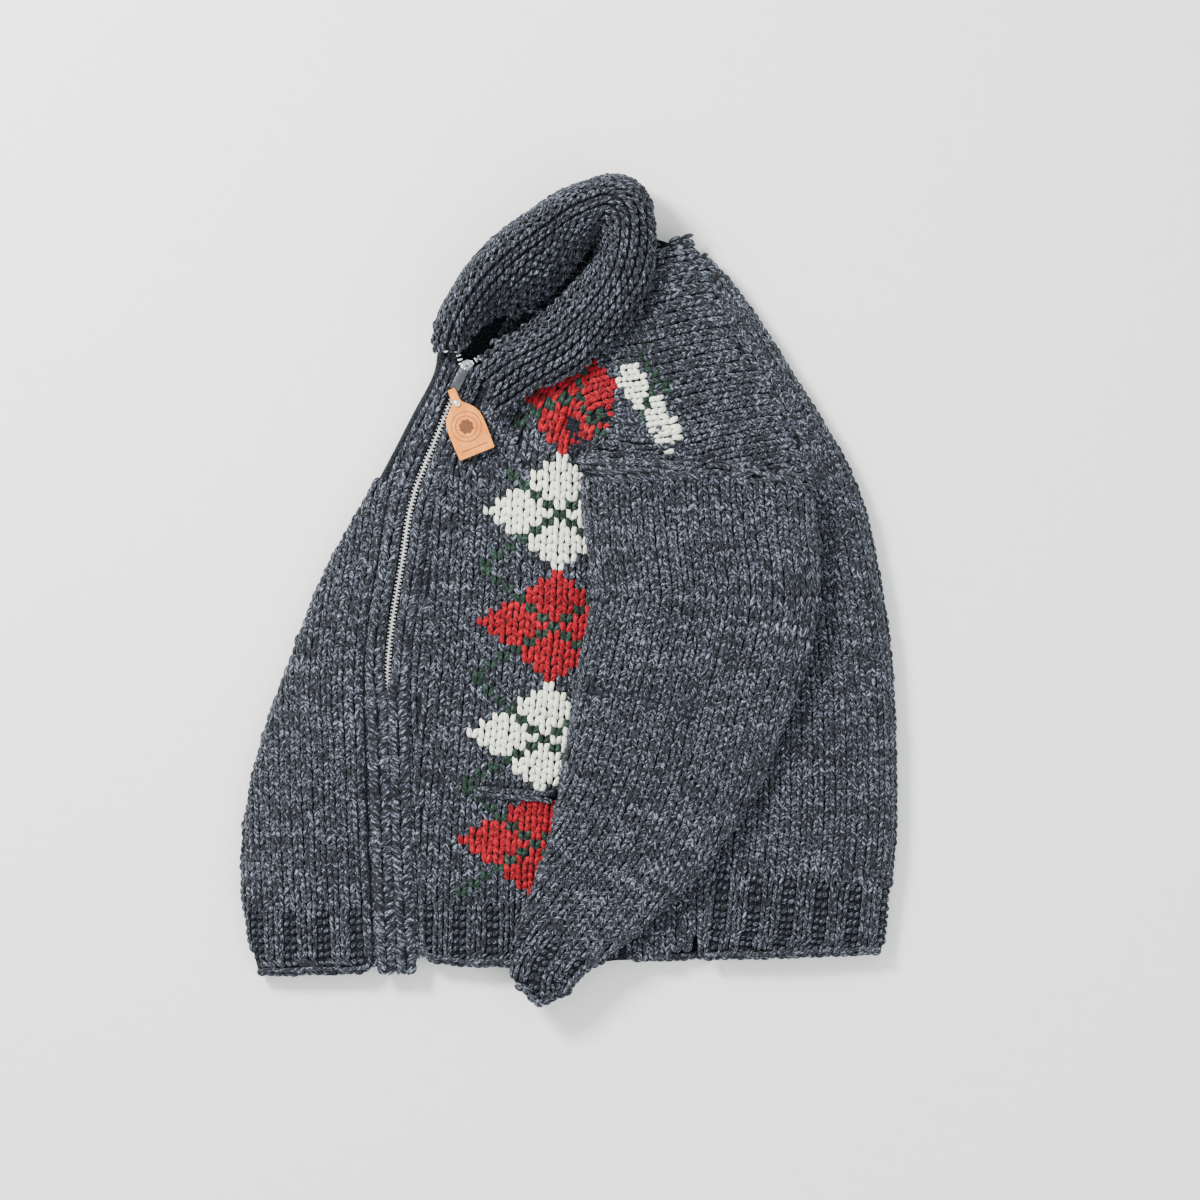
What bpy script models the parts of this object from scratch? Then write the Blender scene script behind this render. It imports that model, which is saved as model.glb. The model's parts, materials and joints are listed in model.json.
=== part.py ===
"""Zip cardigan in bulky knitting, laid on its back and turned a little to its left side.

The body is one ring of cloth, flattened: every row of it runs from the zip over the left front, round the
right-hand fold, back underneath, round the left-hand fold and over the right front to the zip again. The panels
are spans of that ring. Sizes are in millimetres; the objects are written in metres. +Z is up, +Y is towards the
collar, and the origin is under the middle of the whole garment.
"""

import math

import bmesh
import bpy
import numpy as np

MM = 0.001
WALL = 5.0  # thickness of the knitted cloth
COLLAR_WALL = 6.0
GAP = 0.5  # between two neighbouring pieces
UNDER = WALL / 2  # mid-surface of the cloth that lies on the floor

# One row of the ring per line, hem to neck. left / right: where the row folds over, zip: where it meets the chain,
# bow: sideways offsets of the upper layer at a quarter, half and three quarters of the way from zip to right,
# seam: where left front ends and back begins (share of the way from zip to right), lap: how far the under layer
# bulges towards the collar, band: distance from zip to the panel's edge, parts: grid rows up to the next line.
BODY = [
    # left           zip            right          bow              seam   lap  band  parts
    ((-281, -349), (-154, -346), (286, -329), (0, 0, 0), 0.616, 0, 20.5, 2),
    ((-291, -300), (-156, -290), (290, -280), (0, 0, 0), 0.616, 0, 20.5, 2),
    ((-295, -250), (-158, -235), (295, -225), (0, 0, 0), 0.616, 0, 20.5, 3),
    ((-281, -152), (-160.5, -150), (295, -140), (0, 0, 0), 0.616, 0, 20.5, 4),
    ((-250, -62), (-162, -65), (291, -60), (0, 0, 0), 0.616, 0, 20.5, 4),
    ((-214, 27), (-149, 28), (281, 10), (0, 0, 0), 0.620, 0, 20.5, 2),
    ((-186, 74), (-139, 85), (268, 72), (0, 0, 0), 0.640, 0, 19.5, 2),
    ((-162, 117), (-121, 132), (245, 127), (0, 0, 0), 0.670, 0, 18.0, 2),
    ((-138, 166), (-107, 166), (208, 186), (0, 0, 0), 0.715, 5, 15.5, 2),
    ((-122, 198), (-97, 190), (154, 271), (-6, -4, 4), 0.800, 30, 13.5, 2),
    ((-119, 222), (-90, 206), (106, 321), (-11, -5, 12), 0.880, 58, 13.0, 0),
]

# Height of the upper layer's outside along the garment: at the folds and in the middle.
HEIGHT = [
    # y     fold  crown
    (-350, 17.0, 20.0),
    (-300, 18.5, 22.0),
    (-250, 20.0, 25.0),
    (-150, 21.0, 28.0),
    (-50, 21.5, 30.0),
    (60, 22.0, 30.5),
    (130, 22.0, 31.0),
    (220, 23.0, 33.0),
    (330, 24.0, 34.0),
]
RISE = 42.0  # from the fold's height to the crown's

# The shoulder is turned over towards the viewer: it lies higher than the strip on its right and than the armhole.
SHOULDER_FOLD = [(119, 322), (124, 290), (139, 252), (153, 223), (173, 196), (194, 161), (210, 124), (216, 101)]
SHOULDER_LIFT = 9.0
SHOULDER_BLEND = 17.0
ARMHOLE = [(-20, 128), (16, 124), (65, 114), (129, 108), (191, 100), (230, 100)]

# Left sleeve, armhole to cuff: outer edges, the height between its two layers at the edges, its dome and its bow.
SLEEVE = [
    # left edge      right edge     side  dome bow of the row towards the cuff
    ((13, 118), (217, 98), 7.5, 2.0, 0.0),
    ((13, 92), (222, 66), 13.0, 5.0, 0.0),
    ((15, 58), (225, 30), 16.0, 7.0, 0.0),
    ((24, 0), (225, -14), 17.0, 7.0, 0.0),
    ((11, -60), (216, -62), 16.5, 5.0, 0.0),
    ((4, -112), (199, -106), 16.0, 3.5, 0.0),
    ((-5, -168), (176, -166), 15.0, 4.5, 0.0),
    ((-18, -234), (125, -246), 14.0, 4.5, 0.0),
    ((-34, -274), (75, -296), 13.0, 4.0, 0.0),
    ((-47, -312), (34, -330), 11.0, 3.0, 1.0),
    ((-53, -345), (7, -350), 10.0, 2.0, 5.0),
    ((-44, -360), (-2, -367), 10.0, 1.5, 10.5),
]
SLEEVE_GAP = 1.4

# Right sleeve, folded under the body: centre line and half width, top to bottom, and its height.
RIGHT_SLEEVE = [((-38, 100), 64), ((-30, 20), 64), ((-20, -90), 60), ((-8, -200), 54), ((-2, -250), 48)]
RIGHT_SLEEVE_HEIGHT = 9.6
RIGHT_SLEEVE_ROUNDING = 30.0
COVER = 11.0  # how far the under layer rises over it
COVER_OUT, COVER_IN = 30.0, 12.0

# Shawl collar, from the zip's left end round the far side and the corner to the lobe that is folded over the front.
COLLAR = [
    # outer foot          crest               inner foot
    ((-118, 212, 33), (-107, 213, 43), (-97, 212, 36)),
    ((-117, 236, 17), (-101, 234, 50), (-86, 231, 28)),
    ((-104, 265, 4), (-88, 258, 56), (-68, 247, 24)),
    ((-86, 293, 3), (-70, 281, 60), (-48, 257, 22)),
    ((-62, 318, 3), (-48, 302, 62), (-29, 264, 22)),
    ((-30, 341, 3), (-20, 322, 64), (-13, 273, 22)),
    ((-4, 358, 3), (2, 338, 66), (-1, 285, 23)),
    ((19, 366, 4), (20, 346, 69), (8, 299, 25)),
    ((42, 371, 12), (36, 350, 71), (15, 311, 27)),
    ((60, 364, 25), (47, 345, 72), (20, 318, 28)),
    ((71, 349, 38), (53, 335, 71), (24, 317, 28)),
    ((75, 330, 43), (54, 320, 68), (27, 311, 27)),
    ((75, 306, 44), (52, 302, 66), (27, 300, 26)),
    ((72, 278, 44), (44, 278, 65), (16, 285, 26)),
    ((61, 255, 44), (28, 255, 64), (3, 271, 26)),
    ((46, 234, 43), (12, 238, 63), (-9, 258, 26)),
    ((29, 215, 43), (-3, 224, 62), (-22, 246, 27)),
    ((10, 199, 42), (-17, 215, 60), (-36, 235, 28)),
    ((-8, 191, 41), (-31, 208, 57), (-49, 228, 30)),
    ((-27, 183, 40), (-46, 200, 53), (-60, 222, 32)),
    ((-52, 163, 38), (-61, 189, 49), (-72, 212, 34)),
    ((-68, 152, 37), (-71, 181, 45), (-79, 203, 35)),
]

BAND_HEIGHT = 9.0
ZIP_HALF_OPEN = 4.0  # half of the slot between the bands where the chain shows
ZIP_HALF_SHUT = 0.35
ZIP_SHOWS_ABOVE = -78.0
TAPE_HALF, TAPE_THICK = 11.5, 1.2
CHAIN_HALF, CHAIN_THICK = 3.1, 2.4

POCKET = ((-82, -181), (-12, -186))
POCKET_WIDTH, POCKET_THICK = 11.0, 3.6

SLIDER_AT = (-92.5, 199.0)
PULL_AXIS = (-0.884, 0.468)  # along the slider's bridge
PULL_DOWN = (-0.468, -0.884)  # from the bridge down the metal tab
TAB_LONG, TAB_WIDE, TAB_THICK = 30.0, 9.6, 1.6
LEATHER_FROM = (-104.5, 181.0)
LEATHER_DOWN = (0.375, -0.927)
LEATHER_THICK = 2.6
LEATHER = [  # distance along the pull, half width
    (0.0, 5.2),
    (10.0, 5.6),
    (19.0, 7.4),
    (26.0, 11.5),
    (33.0, 15.4),
    (42.0, 16.6),
    (52.0, 16.8),
    (60.0, 16.2),
    (64.0, 14.0),
]
RIVET_ALONG, RIVET_RADIUS = 14.0, 2.9

GREY = (0.056, 0.060, 0.072)
METAL = (0.62, 0.62, 0.63)
LEATHER_TAN = (0.68, 0.31, 0.13)


def smooth(t):
    t = np.clip(t, 0.0, 1.0)
    return t * t * (3 - 2 * t)


def hermite(knots, t):
    """Smooth values through the lines of a table at the table positions t (0 is the first line)."""
    k = np.asarray(knots, float)
    step = np.maximum(np.linalg.norm(np.diff(k, axis=0), axis=1), 1e-6)
    slope = np.diff(k, axis=0) / step[:, None]
    tangent = np.empty_like(k)
    tangent[0], tangent[-1] = slope[0], slope[-1]
    tangent[1:-1] = (slope[:-1] * step[1:, None] + slope[1:] * step[:-1, None]) / (step[1:] + step[:-1])[:, None]
    t = np.atleast_1d(np.asarray(t, float))
    i = np.clip(t.astype(int), 0, len(k) - 2)
    f = (t - i)[:, None]
    h = step[i][:, None]
    return (
        (2 * f**3 - 3 * f**2 + 1) * k[i]
        + (f**3 - 2 * f**2 + f) * h * tangent[i]
        + (3 * f**2 - 2 * f**3) * k[i + 1]
        + (f**3 - f**2) * h * tangent[i + 1]
    )


def along(points, x, y):
    """Distance of x, y to a line through the points, and the side it lies on (positive on the left)."""
    p = np.asarray(points, float)
    best, side = np.full(np.shape(x), 1e9), np.zeros(np.shape(x))
    for a, b in zip(p[:-1], p[1:]):
        d = b - a
        t = np.clip(((x - a[0]) * d[0] + (y - a[1]) * d[1]) / (d @ d), 0, 1)
        ex, ey = x - a[0] - t * d[0], y - a[1] - t * d[1]
        far = np.hypot(ex, ey)
        nearer = far < best
        best = np.where(nearer, far, best)
        side = np.where(nearer, np.sign(d[0] * ey - d[1] * ex), side)
    return best, side


FINE = np.linspace(0, len(BODY) - 1, 81)
LEFT_LINE = hermite([r[0] for r in BODY], FINE)
RIGHT_LINE = hermite([r[2] for r in BODY], FINE)


def top_height(x, y):
    """Mid-surface height of the body's upper layer at x, y."""
    x, y = np.asarray(x, float), np.asarray(y, float)
    ys, folds, crowns = (np.array(c) for c in zip(*HEIGHT))
    fold, crown = np.interp(y, ys, folds), np.interp(y, ys, crowns)
    d = np.minimum(along(LEFT_LINE, x, y)[0], along(RIGHT_LINE, x, y)[0])
    z = fold + (crown - fold) * smooth((d - 9.0) / RISE)
    far, side = along(SHOULDER_FOLD, x, y)
    inside = smooth(0.5 - side * far / SHOULDER_BLEND)  # 1 on the shoulder's side of its fold
    far, side = along(ARMHOLE, x, y)
    above = smooth(0.5 + (side * far + 6.0) / SHOULDER_BLEND)
    wide = smooth((x + 40.0) / 70.0)
    return z + SHOULDER_LIFT * inside * above * wide - WALL / 2


def under_height(x, y):
    """Mid-surface height of the body's under layer, which rises over the folded right sleeve."""
    x, y = np.asarray(x, float), np.asarray(y, float)
    line = [r[0] for r in RIGHT_SLEEVE]
    far, _ = along(line, x, y)
    half = np.interp(y, [r[0][1] for r in RIGHT_SLEEVE[::-1]], [r[1] for r in RIGHT_SLEEVE[::-1]])
    return UNDER + COVER * smooth((half - far + COVER_OUT) / (COVER_OUT + COVER_IN))


def body_rows():
    """The table position of every grid row."""
    return np.concatenate(
        [i + np.arange(r[7]) / r[7] for i, r in enumerate(BODY[:-1])] + [[len(BODY) - 1.0]]
    )


class Row:
    """One row of the body's ring at table position v."""

    def __init__(self, v):
        self.left, self.zip, self.right = (hermite([r[c] for r in BODY], v)[0] for c in range(3))
        rest = hermite([(*r[3], r[4] * 100, r[5], r[6]) for r in BODY], v)[0]
        self.bow, self.seam, self.lap, self.band = rest[:3], rest[3] / 100, rest[4], rest[5]
        step = 0.02
        run = hermite([r[1] for r in BODY], [max(v - step, 0), min(v + step, len(BODY) - 1)])
        self.up = (run[1] - run[0]) / np.linalg.norm(run[1] - run[0])
        self.side = np.array([self.up[1], -self.up[0]])  # towards the left front
        self.z_zip = float(top_height(*self.zip))

    def fold(self, end, start):
        """Radius and inward end of a fold between the two layers."""
        out = (end - start) / np.linalg.norm(end - start)
        end = end - UNDER * out  # the table gives the outside of the cloth
        z = float(top_height(*(end - 9 * out)))
        radius = min((z - UNDER) / 2, 9.0)
        return out, z, radius, end - radius * out

    def top_right(self, s):
        """Upper layer from the left front's edge (0) to the right fold (1)."""
        start = self.zip + self.side * self.band
        out, _, _, end = self.fold(self.right, start)
        p = start + np.outer(s, end - start)
        bow = np.interp(s, [0, 0.25, 0.5, 0.75, 1], [0, *self.bow, 0])
        p = p + np.outer(bow, [-out[1], out[0]])
        return np.column_stack([p, top_height(p[:, 0], p[:, 1])])

    def top_left(self, s):
        """Upper layer from the left fold (0) to the right front's edge (1)."""
        end = self.zip - self.side * self.band
        _, _, _, start = self.fold(self.left, end)
        p = start + np.outer(s, end - start)
        return np.column_stack([p, top_height(p[:, 0], p[:, 1])])

    def under(self, s):
        """Under layer from the right fold (0) to the left fold (1)."""
        a = self.fold(self.right, self.zip + self.side * self.band)[3]
        b = self.fold(self.left, self.zip - self.side * self.band)[3]
        p = a + np.outer(s, b - a)
        d = (a - b) / np.linalg.norm(a - b)
        p = p + np.outer(self.lap * np.sin(math.pi * np.asarray(s)) ** 0.8, [-d[1], d[0]])
        return np.column_stack([p, under_height(p[:, 0], p[:, 1])])

    def turn(self, end, start, angles):
        """Round a fold: angle 90 is its top, -90 its bottom."""
        out, z, radius, base = self.fold(end, start)
        tall = (z - UNDER) / 2
        a = np.radians(angles)
        p = base + np.outer(np.cos(a) * radius, out)
        return np.column_stack([p, UNDER + tall + tall * np.sin(a)])


def strip(first, last, count):
    return np.linspace(first, last, count)


def left_front():
    rows = []
    for v in body_rows():
        r = Row(v)
        rows.append(r.top_right(strip(0.0, r.seam - 0.0035, 12)))
    return np.array(rows)


def back():
    rows = []
    for v in body_rows():
        r = Row(v)
        start = r.zip + r.side * r.band
        rows.append(
            np.vstack(
                [
                    r.top_right(strip(r.seam, 1.0, 7)),
                    r.turn(r.right, start, [60, 30, 0, -30, -60]),
                    r.under(strip(0.0, 0.72, 11)),
                ]
            )
        )
    return np.array(rows)


def right_front():
    rows = []
    for v in body_rows():
        r = Row(v)
        end = r.zip - r.side * r.band
        rows.append(
            np.vstack(
                [
                    r.under(strip(0.7255, 1.0, 6)),
                    r.turn(r.left, end, [-60, -30, 0, 30, 60]),
                    r.top_left(strip(0.0, 1.0, 5)),
                ]
            )
        )
    return np.array(rows)


def half_slot(y):
    return ZIP_HALF_SHUT + (ZIP_HALF_OPEN - ZIP_HALF_SHUT) * float(smooth((y - ZIP_SHOWS_ABOVE + 22) / 30))


def band(side):
    """Edge cord of one front: an oval tube beside the zip (side 1: left front, -1: right front)."""
    rings = []
    for v in body_rows():
        r = Row(v)
        slot = half_slot(r.zip[1])
        half = (r.band - GAP - slot) / 2
        middle = r.zip + r.side * side * (slot + half)
        a = np.radians(np.arange(0, 360, 45.0))
        c, s = np.cos(a), np.sin(a)
        wide = np.sign(c) * np.abs(c) ** 0.8 * half
        p = middle + np.outer(wide * side, r.side)
        z = top_height(*middle) + 0.3 + np.sign(s) * np.abs(s) ** 0.8 * BAND_HEIGHT / 2
        rings.append(np.column_stack([p, z])[::side])
    return np.array(rings)


def zip_rows():
    return body_rows()


def zip_tape():
    rows = []
    for v in zip_rows():
        r = Row(v)
        p = r.zip + np.outer(np.linspace(-TAPE_HALF, TAPE_HALF, 3), r.side)
        z = r.z_zip + 0.3 - BAND_HEIGHT / 2 - 0.6 - CHAIN_THICK - 0.4 - TAPE_THICK / 2
        rows.append(np.column_stack([p, np.full(3, z)]))
    return np.array(rows)


def zip_chain():
    rings = []
    for v in zip_rows():
        if v > 9.4:
            continue
        r = Row(v)
        corners = [(-1, -1), (1, -1), (1, 1), (-1, 1)]
        z = r.z_zip + 0.3 - BAND_HEIGHT / 2 - 0.6 - CHAIN_THICK / 2
        rings.append(
            [
                (*(r.zip + r.side * a * CHAIN_HALF), z + b * CHAIN_THICK / 2)
                for a, b in corners
            ]
        )
    return np.array(rings)


def sleeve():
    """Left sleeve: a flattened tube that lies on the body."""
    rings = []
    at = np.concatenate([np.linspace(0, 3, 6, endpoint=False), np.linspace(3, 11, 15)])
    table = [(*r[0], *r[1], r[2], r[3], r[4]) for r in SLEEVE]
    for line in hermite(table, at):
        left, right, side, dome = line[:2], line[2:4], line[4], line[5]
        out = (right - left) / np.linalg.norm(right - left)
        radius = side / 2
        a, b = left + out * (radius + UNDER), right - out * (radius + UNDER)
        s = np.linspace(0, 1, 8)
        flat = a + np.outer(s, b - a)
        flat = flat + np.outer(line[6] * np.sin(math.pi * s), [out[1], -out[0]])
        lying = np.max([top_height(flat[:, 0], flat[:, 1] + q) for q in (-12, -6, 0, 6, 12)], axis=0)
        lower = np.maximum(lying, np.maximum(np.append(lying[1:], 0), np.append(0, lying[:-1])) - 1.5) + WALL + SLEEVE_GAP
        upper = lower + side + dome * np.sin(math.pi * s) ** 0.7
        turn = np.radians([-54, -18, 18, 54])
        right_z, left_z = lower[-1] + radius, lower[0] + radius
        ring = [
            np.column_stack([flat, lower]),
            np.column_stack([b + np.outer(np.cos(turn) * radius, out), right_z + np.sin(turn) * radius]),
            np.column_stack([flat[::-1], upper[::-1]]),
            np.column_stack([a - np.outer(np.cos(turn[::-1]) * radius, out), left_z + np.sin(turn[::-1]) * radius]),
        ]
        rings.append(np.vstack(ring))
    return np.array(rings)


def right_sleeve():
    """Right sleeve, folded flat under the body: one rounded solid."""
    rings = []
    table = [(*r[0], r[1]) for r in RIGHT_SLEEVE]
    for t in np.linspace(0, len(table) - 1, 12):
        x, y, half = hermite(table, t)[0]
        ends = min(t, len(table) - 1 - t)
        tall = RIGHT_SLEEVE_HEIGHT * (0.45 + 0.55 * float(smooth(ends / 0.35)))
        q = np.array([0.0, 8.0, 20.0, half])
        h = tall * np.sqrt(1 - (1 - np.minimum(q / RIGHT_SLEEVE_ROUNDING, 1.0)) ** 2)
        h[0] = 1.5
        xs = np.concatenate([-half + q, (half - q)[::-1][1:]])
        zs = np.concatenate([h, h[::-1][1:]])
        top = np.column_stack([x + xs, y + 0.12 * xs, zs])[::-1]
        flat = np.column_stack([x + xs[1:-1], y + 0.12 * xs[1:-1], np.zeros(len(xs) - 2)])
        rings.append(np.vstack([flat, top]))
    return np.array(rings)


def collar():
    """Arched band: every station goes from the outer foot over the crest to the inner foot."""
    rows = []
    table = [(*o, *c, *i) for o, c, i in COLLAR]
    for line in hermite(table, np.linspace(0, len(COLLAR) - 1, 29)):
        outer, crest, inner = line[:3], line[3:6], line[6:]
        arch = []
        for a in np.radians([0, 22, 42, 62, 80, 90]):
            plan = crest[:2] + (outer[:2] - crest[:2]) * math.cos(a)
            arch.append((*plan, outer[2] + (crest[2] - outer[2]) * math.sin(a)))
        for q in (0.15, 0.35, 0.55, 0.78, 1.0):
            plan = crest[:2] + (inner[:2] - crest[:2]) * q
            arch.append((*plan, inner[2] + (crest[2] - inner[2]) * (1 - q**1.7)))
        rows.append(arch)
    return np.array(rows)


def pocket_welt():
    """Lip of the pocket slit, on the left front."""
    a, b = (np.array(p, float) for p in POCKET)
    d = (b - a) / np.linalg.norm(b - a)
    n = np.array([-d[1], d[0]])
    rings = []
    for t in np.linspace(0, 1, 8):
        middle = a + (b - a) * t
        ring = []
        for u, w in ((-0.5, 0), (0.5, 0), (0.46, 0.7), (0.25, 1.0), (-0.2, 0.8), (-0.46, 0.35)):
            p = middle + n * u * POCKET_WIDTH
            z = top_height(*p) + WALL / 2 + 0.6 + w * POCKET_THICK
            ring.append((*p, float(z)))
        rings.append(ring)
    return np.array(rings)


# ---------------------------------------------------------------- building


def clear():
    for o in list(bpy.data.objects):
        bpy.data.objects.remove(o, do_unlink=True)


def material(name, colour, rough, metallic=0.0):
    m = bpy.data.materials.new(name)
    m.use_nodes = True
    shader = m.node_tree.nodes["Principled BSDF"]
    shader.inputs["Base Color"].default_value = (*colour, 1.0)
    shader.inputs["Roughness"].default_value = rough
    shader.inputs["Metallic"].default_value = metallic
    m.diffuse_color = (*colour, 1.0)
    return m


def add(name, bm, colour, rough, metallic=0.0, smooth_faces=False):
    bm.normal_update()
    bmesh.ops.recalc_face_normals(bm, faces=bm.faces)
    mesh = bpy.data.meshes.new(name)
    bm.to_mesh(mesh)
    bm.free()
    mesh.materials.append(material(f"{name}_finish", colour, rough, metallic))
    for p in mesh.polygons:
        p.use_smooth = smooth_faces
    o = bpy.data.objects.new(name, mesh)
    COLLECTION.objects.link(o)
    return o


def grid(points, closed=False):
    """A grid moved onto rows of points (metres out of millimetres); closed joins last column to first."""
    p = np.asarray(points, float) * MM
    if closed:
        p = np.concatenate([p, p[:, :1]], axis=1)
    rows, columns = p.shape[:2]
    bm = bmesh.new()
    bmesh.ops.create_grid(bm, x_segments=columns - 1, y_segments=rows - 1, size=1.0)
    for v in bm.verts:
        i = round((v.co.y + 1) / 2 * (rows - 1))
        j = round((v.co.x + 1) / 2 * (columns - 1))
        v.co = p[i, j]
    if closed:
        bmesh.ops.remove_doubles(bm, verts=bm.verts, dist=1e-6)
    return bm


def shell(name, points, wall, colour, rough, closed=False):
    o = add(name, grid(points, closed), colour, rough)
    solid = o.modifiers.new("wall", "SOLIDIFY")
    solid.thickness = wall * MM
    solid.offset = 0.0
    solid.use_even_offset = True
    solid.use_quality_normals = True
    return o


def tube(name, rings, colour, rough, metallic=0.0):
    bm = grid(rings, closed=True)
    bmesh.ops.holes_fill(bm, edges=[e for e in bm.edges if e.is_boundary], sides=0)
    return add(name, bm, colour, rough, metallic)


def block(name, size, bevel, place, colour, rough, metallic=0.0):
    """A bevelled box, placed by a function from its own x, y, z to the world (millimetres)."""
    bm = bmesh.new()
    bmesh.ops.create_cube(bm, size=1.0)
    bmesh.ops.scale(bm, vec=size, verts=bm.verts)
    if bevel:
        bmesh.ops.bevel(
            bm, geom=bm.edges[:], offset=bevel, offset_type="OFFSET", segments=2, profile=0.5, affect="EDGES", material=-1
        )
    for v in bm.verts:
        v.co = place(*v.co)
    return add(name, bm, colour, rough, metallic)


def outlined(name, outline, thick, place, colour, rough, metallic=0.0):
    """A flat plate: a filled outline, thickened by Solidify."""
    bm = bmesh.new()
    bm.faces.new([bm.verts.new(place(x, y, thick / 2)) for x, y in outline])
    o = add(name, bm, colour, rough, metallic)
    solid = o.modifiers.new("thickness", "SOLIDIFY")
    solid.thickness = thick * MM
    solid.offset = 0.0
    return o


def placed(at, along_way, z):
    """Own x across, own y along the way, own z up."""
    d = np.array(along_way, float)
    d = d / np.linalg.norm(d)
    across = np.array([d[1], -d[0]])
    return lambda x, y, h: tuple((np.array([*(np.array(at) + across * x + d * y), z + h]) * MM).tolist())


def metal_parts():
    at = np.array(SLIDER_AT)
    band_top = float(top_height(*at)) + 0.3 + BAND_HEIGHT / 2
    tab_z = band_top + 3.4
    low = band_top - BAND_HEIGHT + 0.3
    block("slider", (7.2, 13.0, 5.6), 1.2, placed(at, PULL_DOWN, low + 2.8), METAL, 0.28, 0.9)
    # bridge: a bow over the slider that the tab hangs from
    bridge_low = low + 5.6 + 0.3
    rings = []
    for a in np.radians(np.linspace(0, 180, 9)):
        reach, lift = math.cos(a) * 4.6, math.sin(a) * 3.6
        rings.append(
            [
                (0.9 * u, reach * (1 + 0.22 * w), lift * (1 + 0.22 * w))
                for u, w in ((-1, -1), (1, -1), (1, 1), (-1, 1))
            ]
        )
    set_down = placed(at, PULL_DOWN, bridge_low)
    bow = np.array([[set_down(*q) for q in ring] for ring in rings]) / MM
    tube("slider_bridge", bow, METAL, 0.28, 0.9)
    return tab_z


def main():
    clear()
    global COLLECTION
    COLLECTION = bpy.data.collections.new("cowichan_cardigan")
    bpy.context.scene.collection.children.link(COLLECTION)

    shell("left_front", left_front(), WALL, GREY, 0.95)
    shell("back", back(), WALL, GREY, 0.95)
    shell("right_front", right_front(), WALL, GREY, 0.95)
    shell("left_sleeve", sleeve(), WALL, GREY, 0.95, closed=True)
    tube("right_sleeve", right_sleeve(), GREY, 0.95)
    shell("collar", collar(), COLLAR_WALL, GREY, 0.95)
    tube("left_band", band(1), GREY, 0.95)
    tube("right_band", band(-1), GREY, 0.95)
    tube("pocket_welt", pocket_welt(), GREY, 0.95)
    shell("zip_tape", zip_tape(), TAPE_THICK, (0.05, 0.05, 0.055), 0.9)
    tube("zip_chain", zip_chain(), METAL, 0.3, 0.9)

    tab_z = metal_parts()
    tab_low = tab_z
    # Metal tab: a plate with an eye at the bridge and an eye at the leather.
    outline = [(-3.6, -1.2), (3.6, -1.2), (TAB_WIDE / 2, 1.6), (TAB_WIDE / 2, TAB_LONG - 6), (3.2, TAB_LONG - 3)]
    outline += [(-x, y) for x, y in outline[::-1][:3]]
    outlined("pull_tab", outline, TAB_THICK, placed(SLIDER_AT, PULL_DOWN, tab_low), METAL, 0.3, 0.9)
    top = [(h, d) for d, h in LEATHER]
    outline = [(h, d) for h, d in top] + [(-h, d) for h, d in top[::-1]]
    lift = tab_low + TAB_THICK + 0.4
    outlined("leather_pull", outline, LEATHER_THICK, placed(LEATHER_FROM, LEATHER_DOWN, lift), LEATHER_TAN, 0.55)
    bm = bmesh.new()
    bmesh.ops.create_cone(
        bm, cap_ends=True, segments=20, radius1=RIVET_RADIUS, radius2=RIVET_RADIUS * 0.8, depth=1.2
    )
    put = placed(LEATHER_FROM, LEATHER_DOWN, lift + LEATHER_THICK + 0.4 + 0.6)
    for v in bm.verts:
        v.co = put(v.co.x, v.co.y + RIVET_ALONG, v.co.z)
    add("rivet", bm, METAL, 0.3, 0.9)


main()
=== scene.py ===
"""Zip cardigan in bulky knitting, laid flat: its knitted stitches, zip, leather pull, studio and camera.

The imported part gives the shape. Every visible cloth piece becomes a smoothed, closed wall of cloth with its
stitches on it as real loops of yarn, placed by charts that count wales (columns) and rows as a knitter would.
Lengths in this file are in millimetres unless a name says otherwise.
"""

import json
import logging
import math
from dataclasses import dataclass, field
from enum import Enum
from typing import Callable, Iterable, Optional, Sequence

import bmesh
import bpy
import numpy as np
from mathutils import Matrix, Vector
from mathutils.bvhtree import BVHTree

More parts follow.
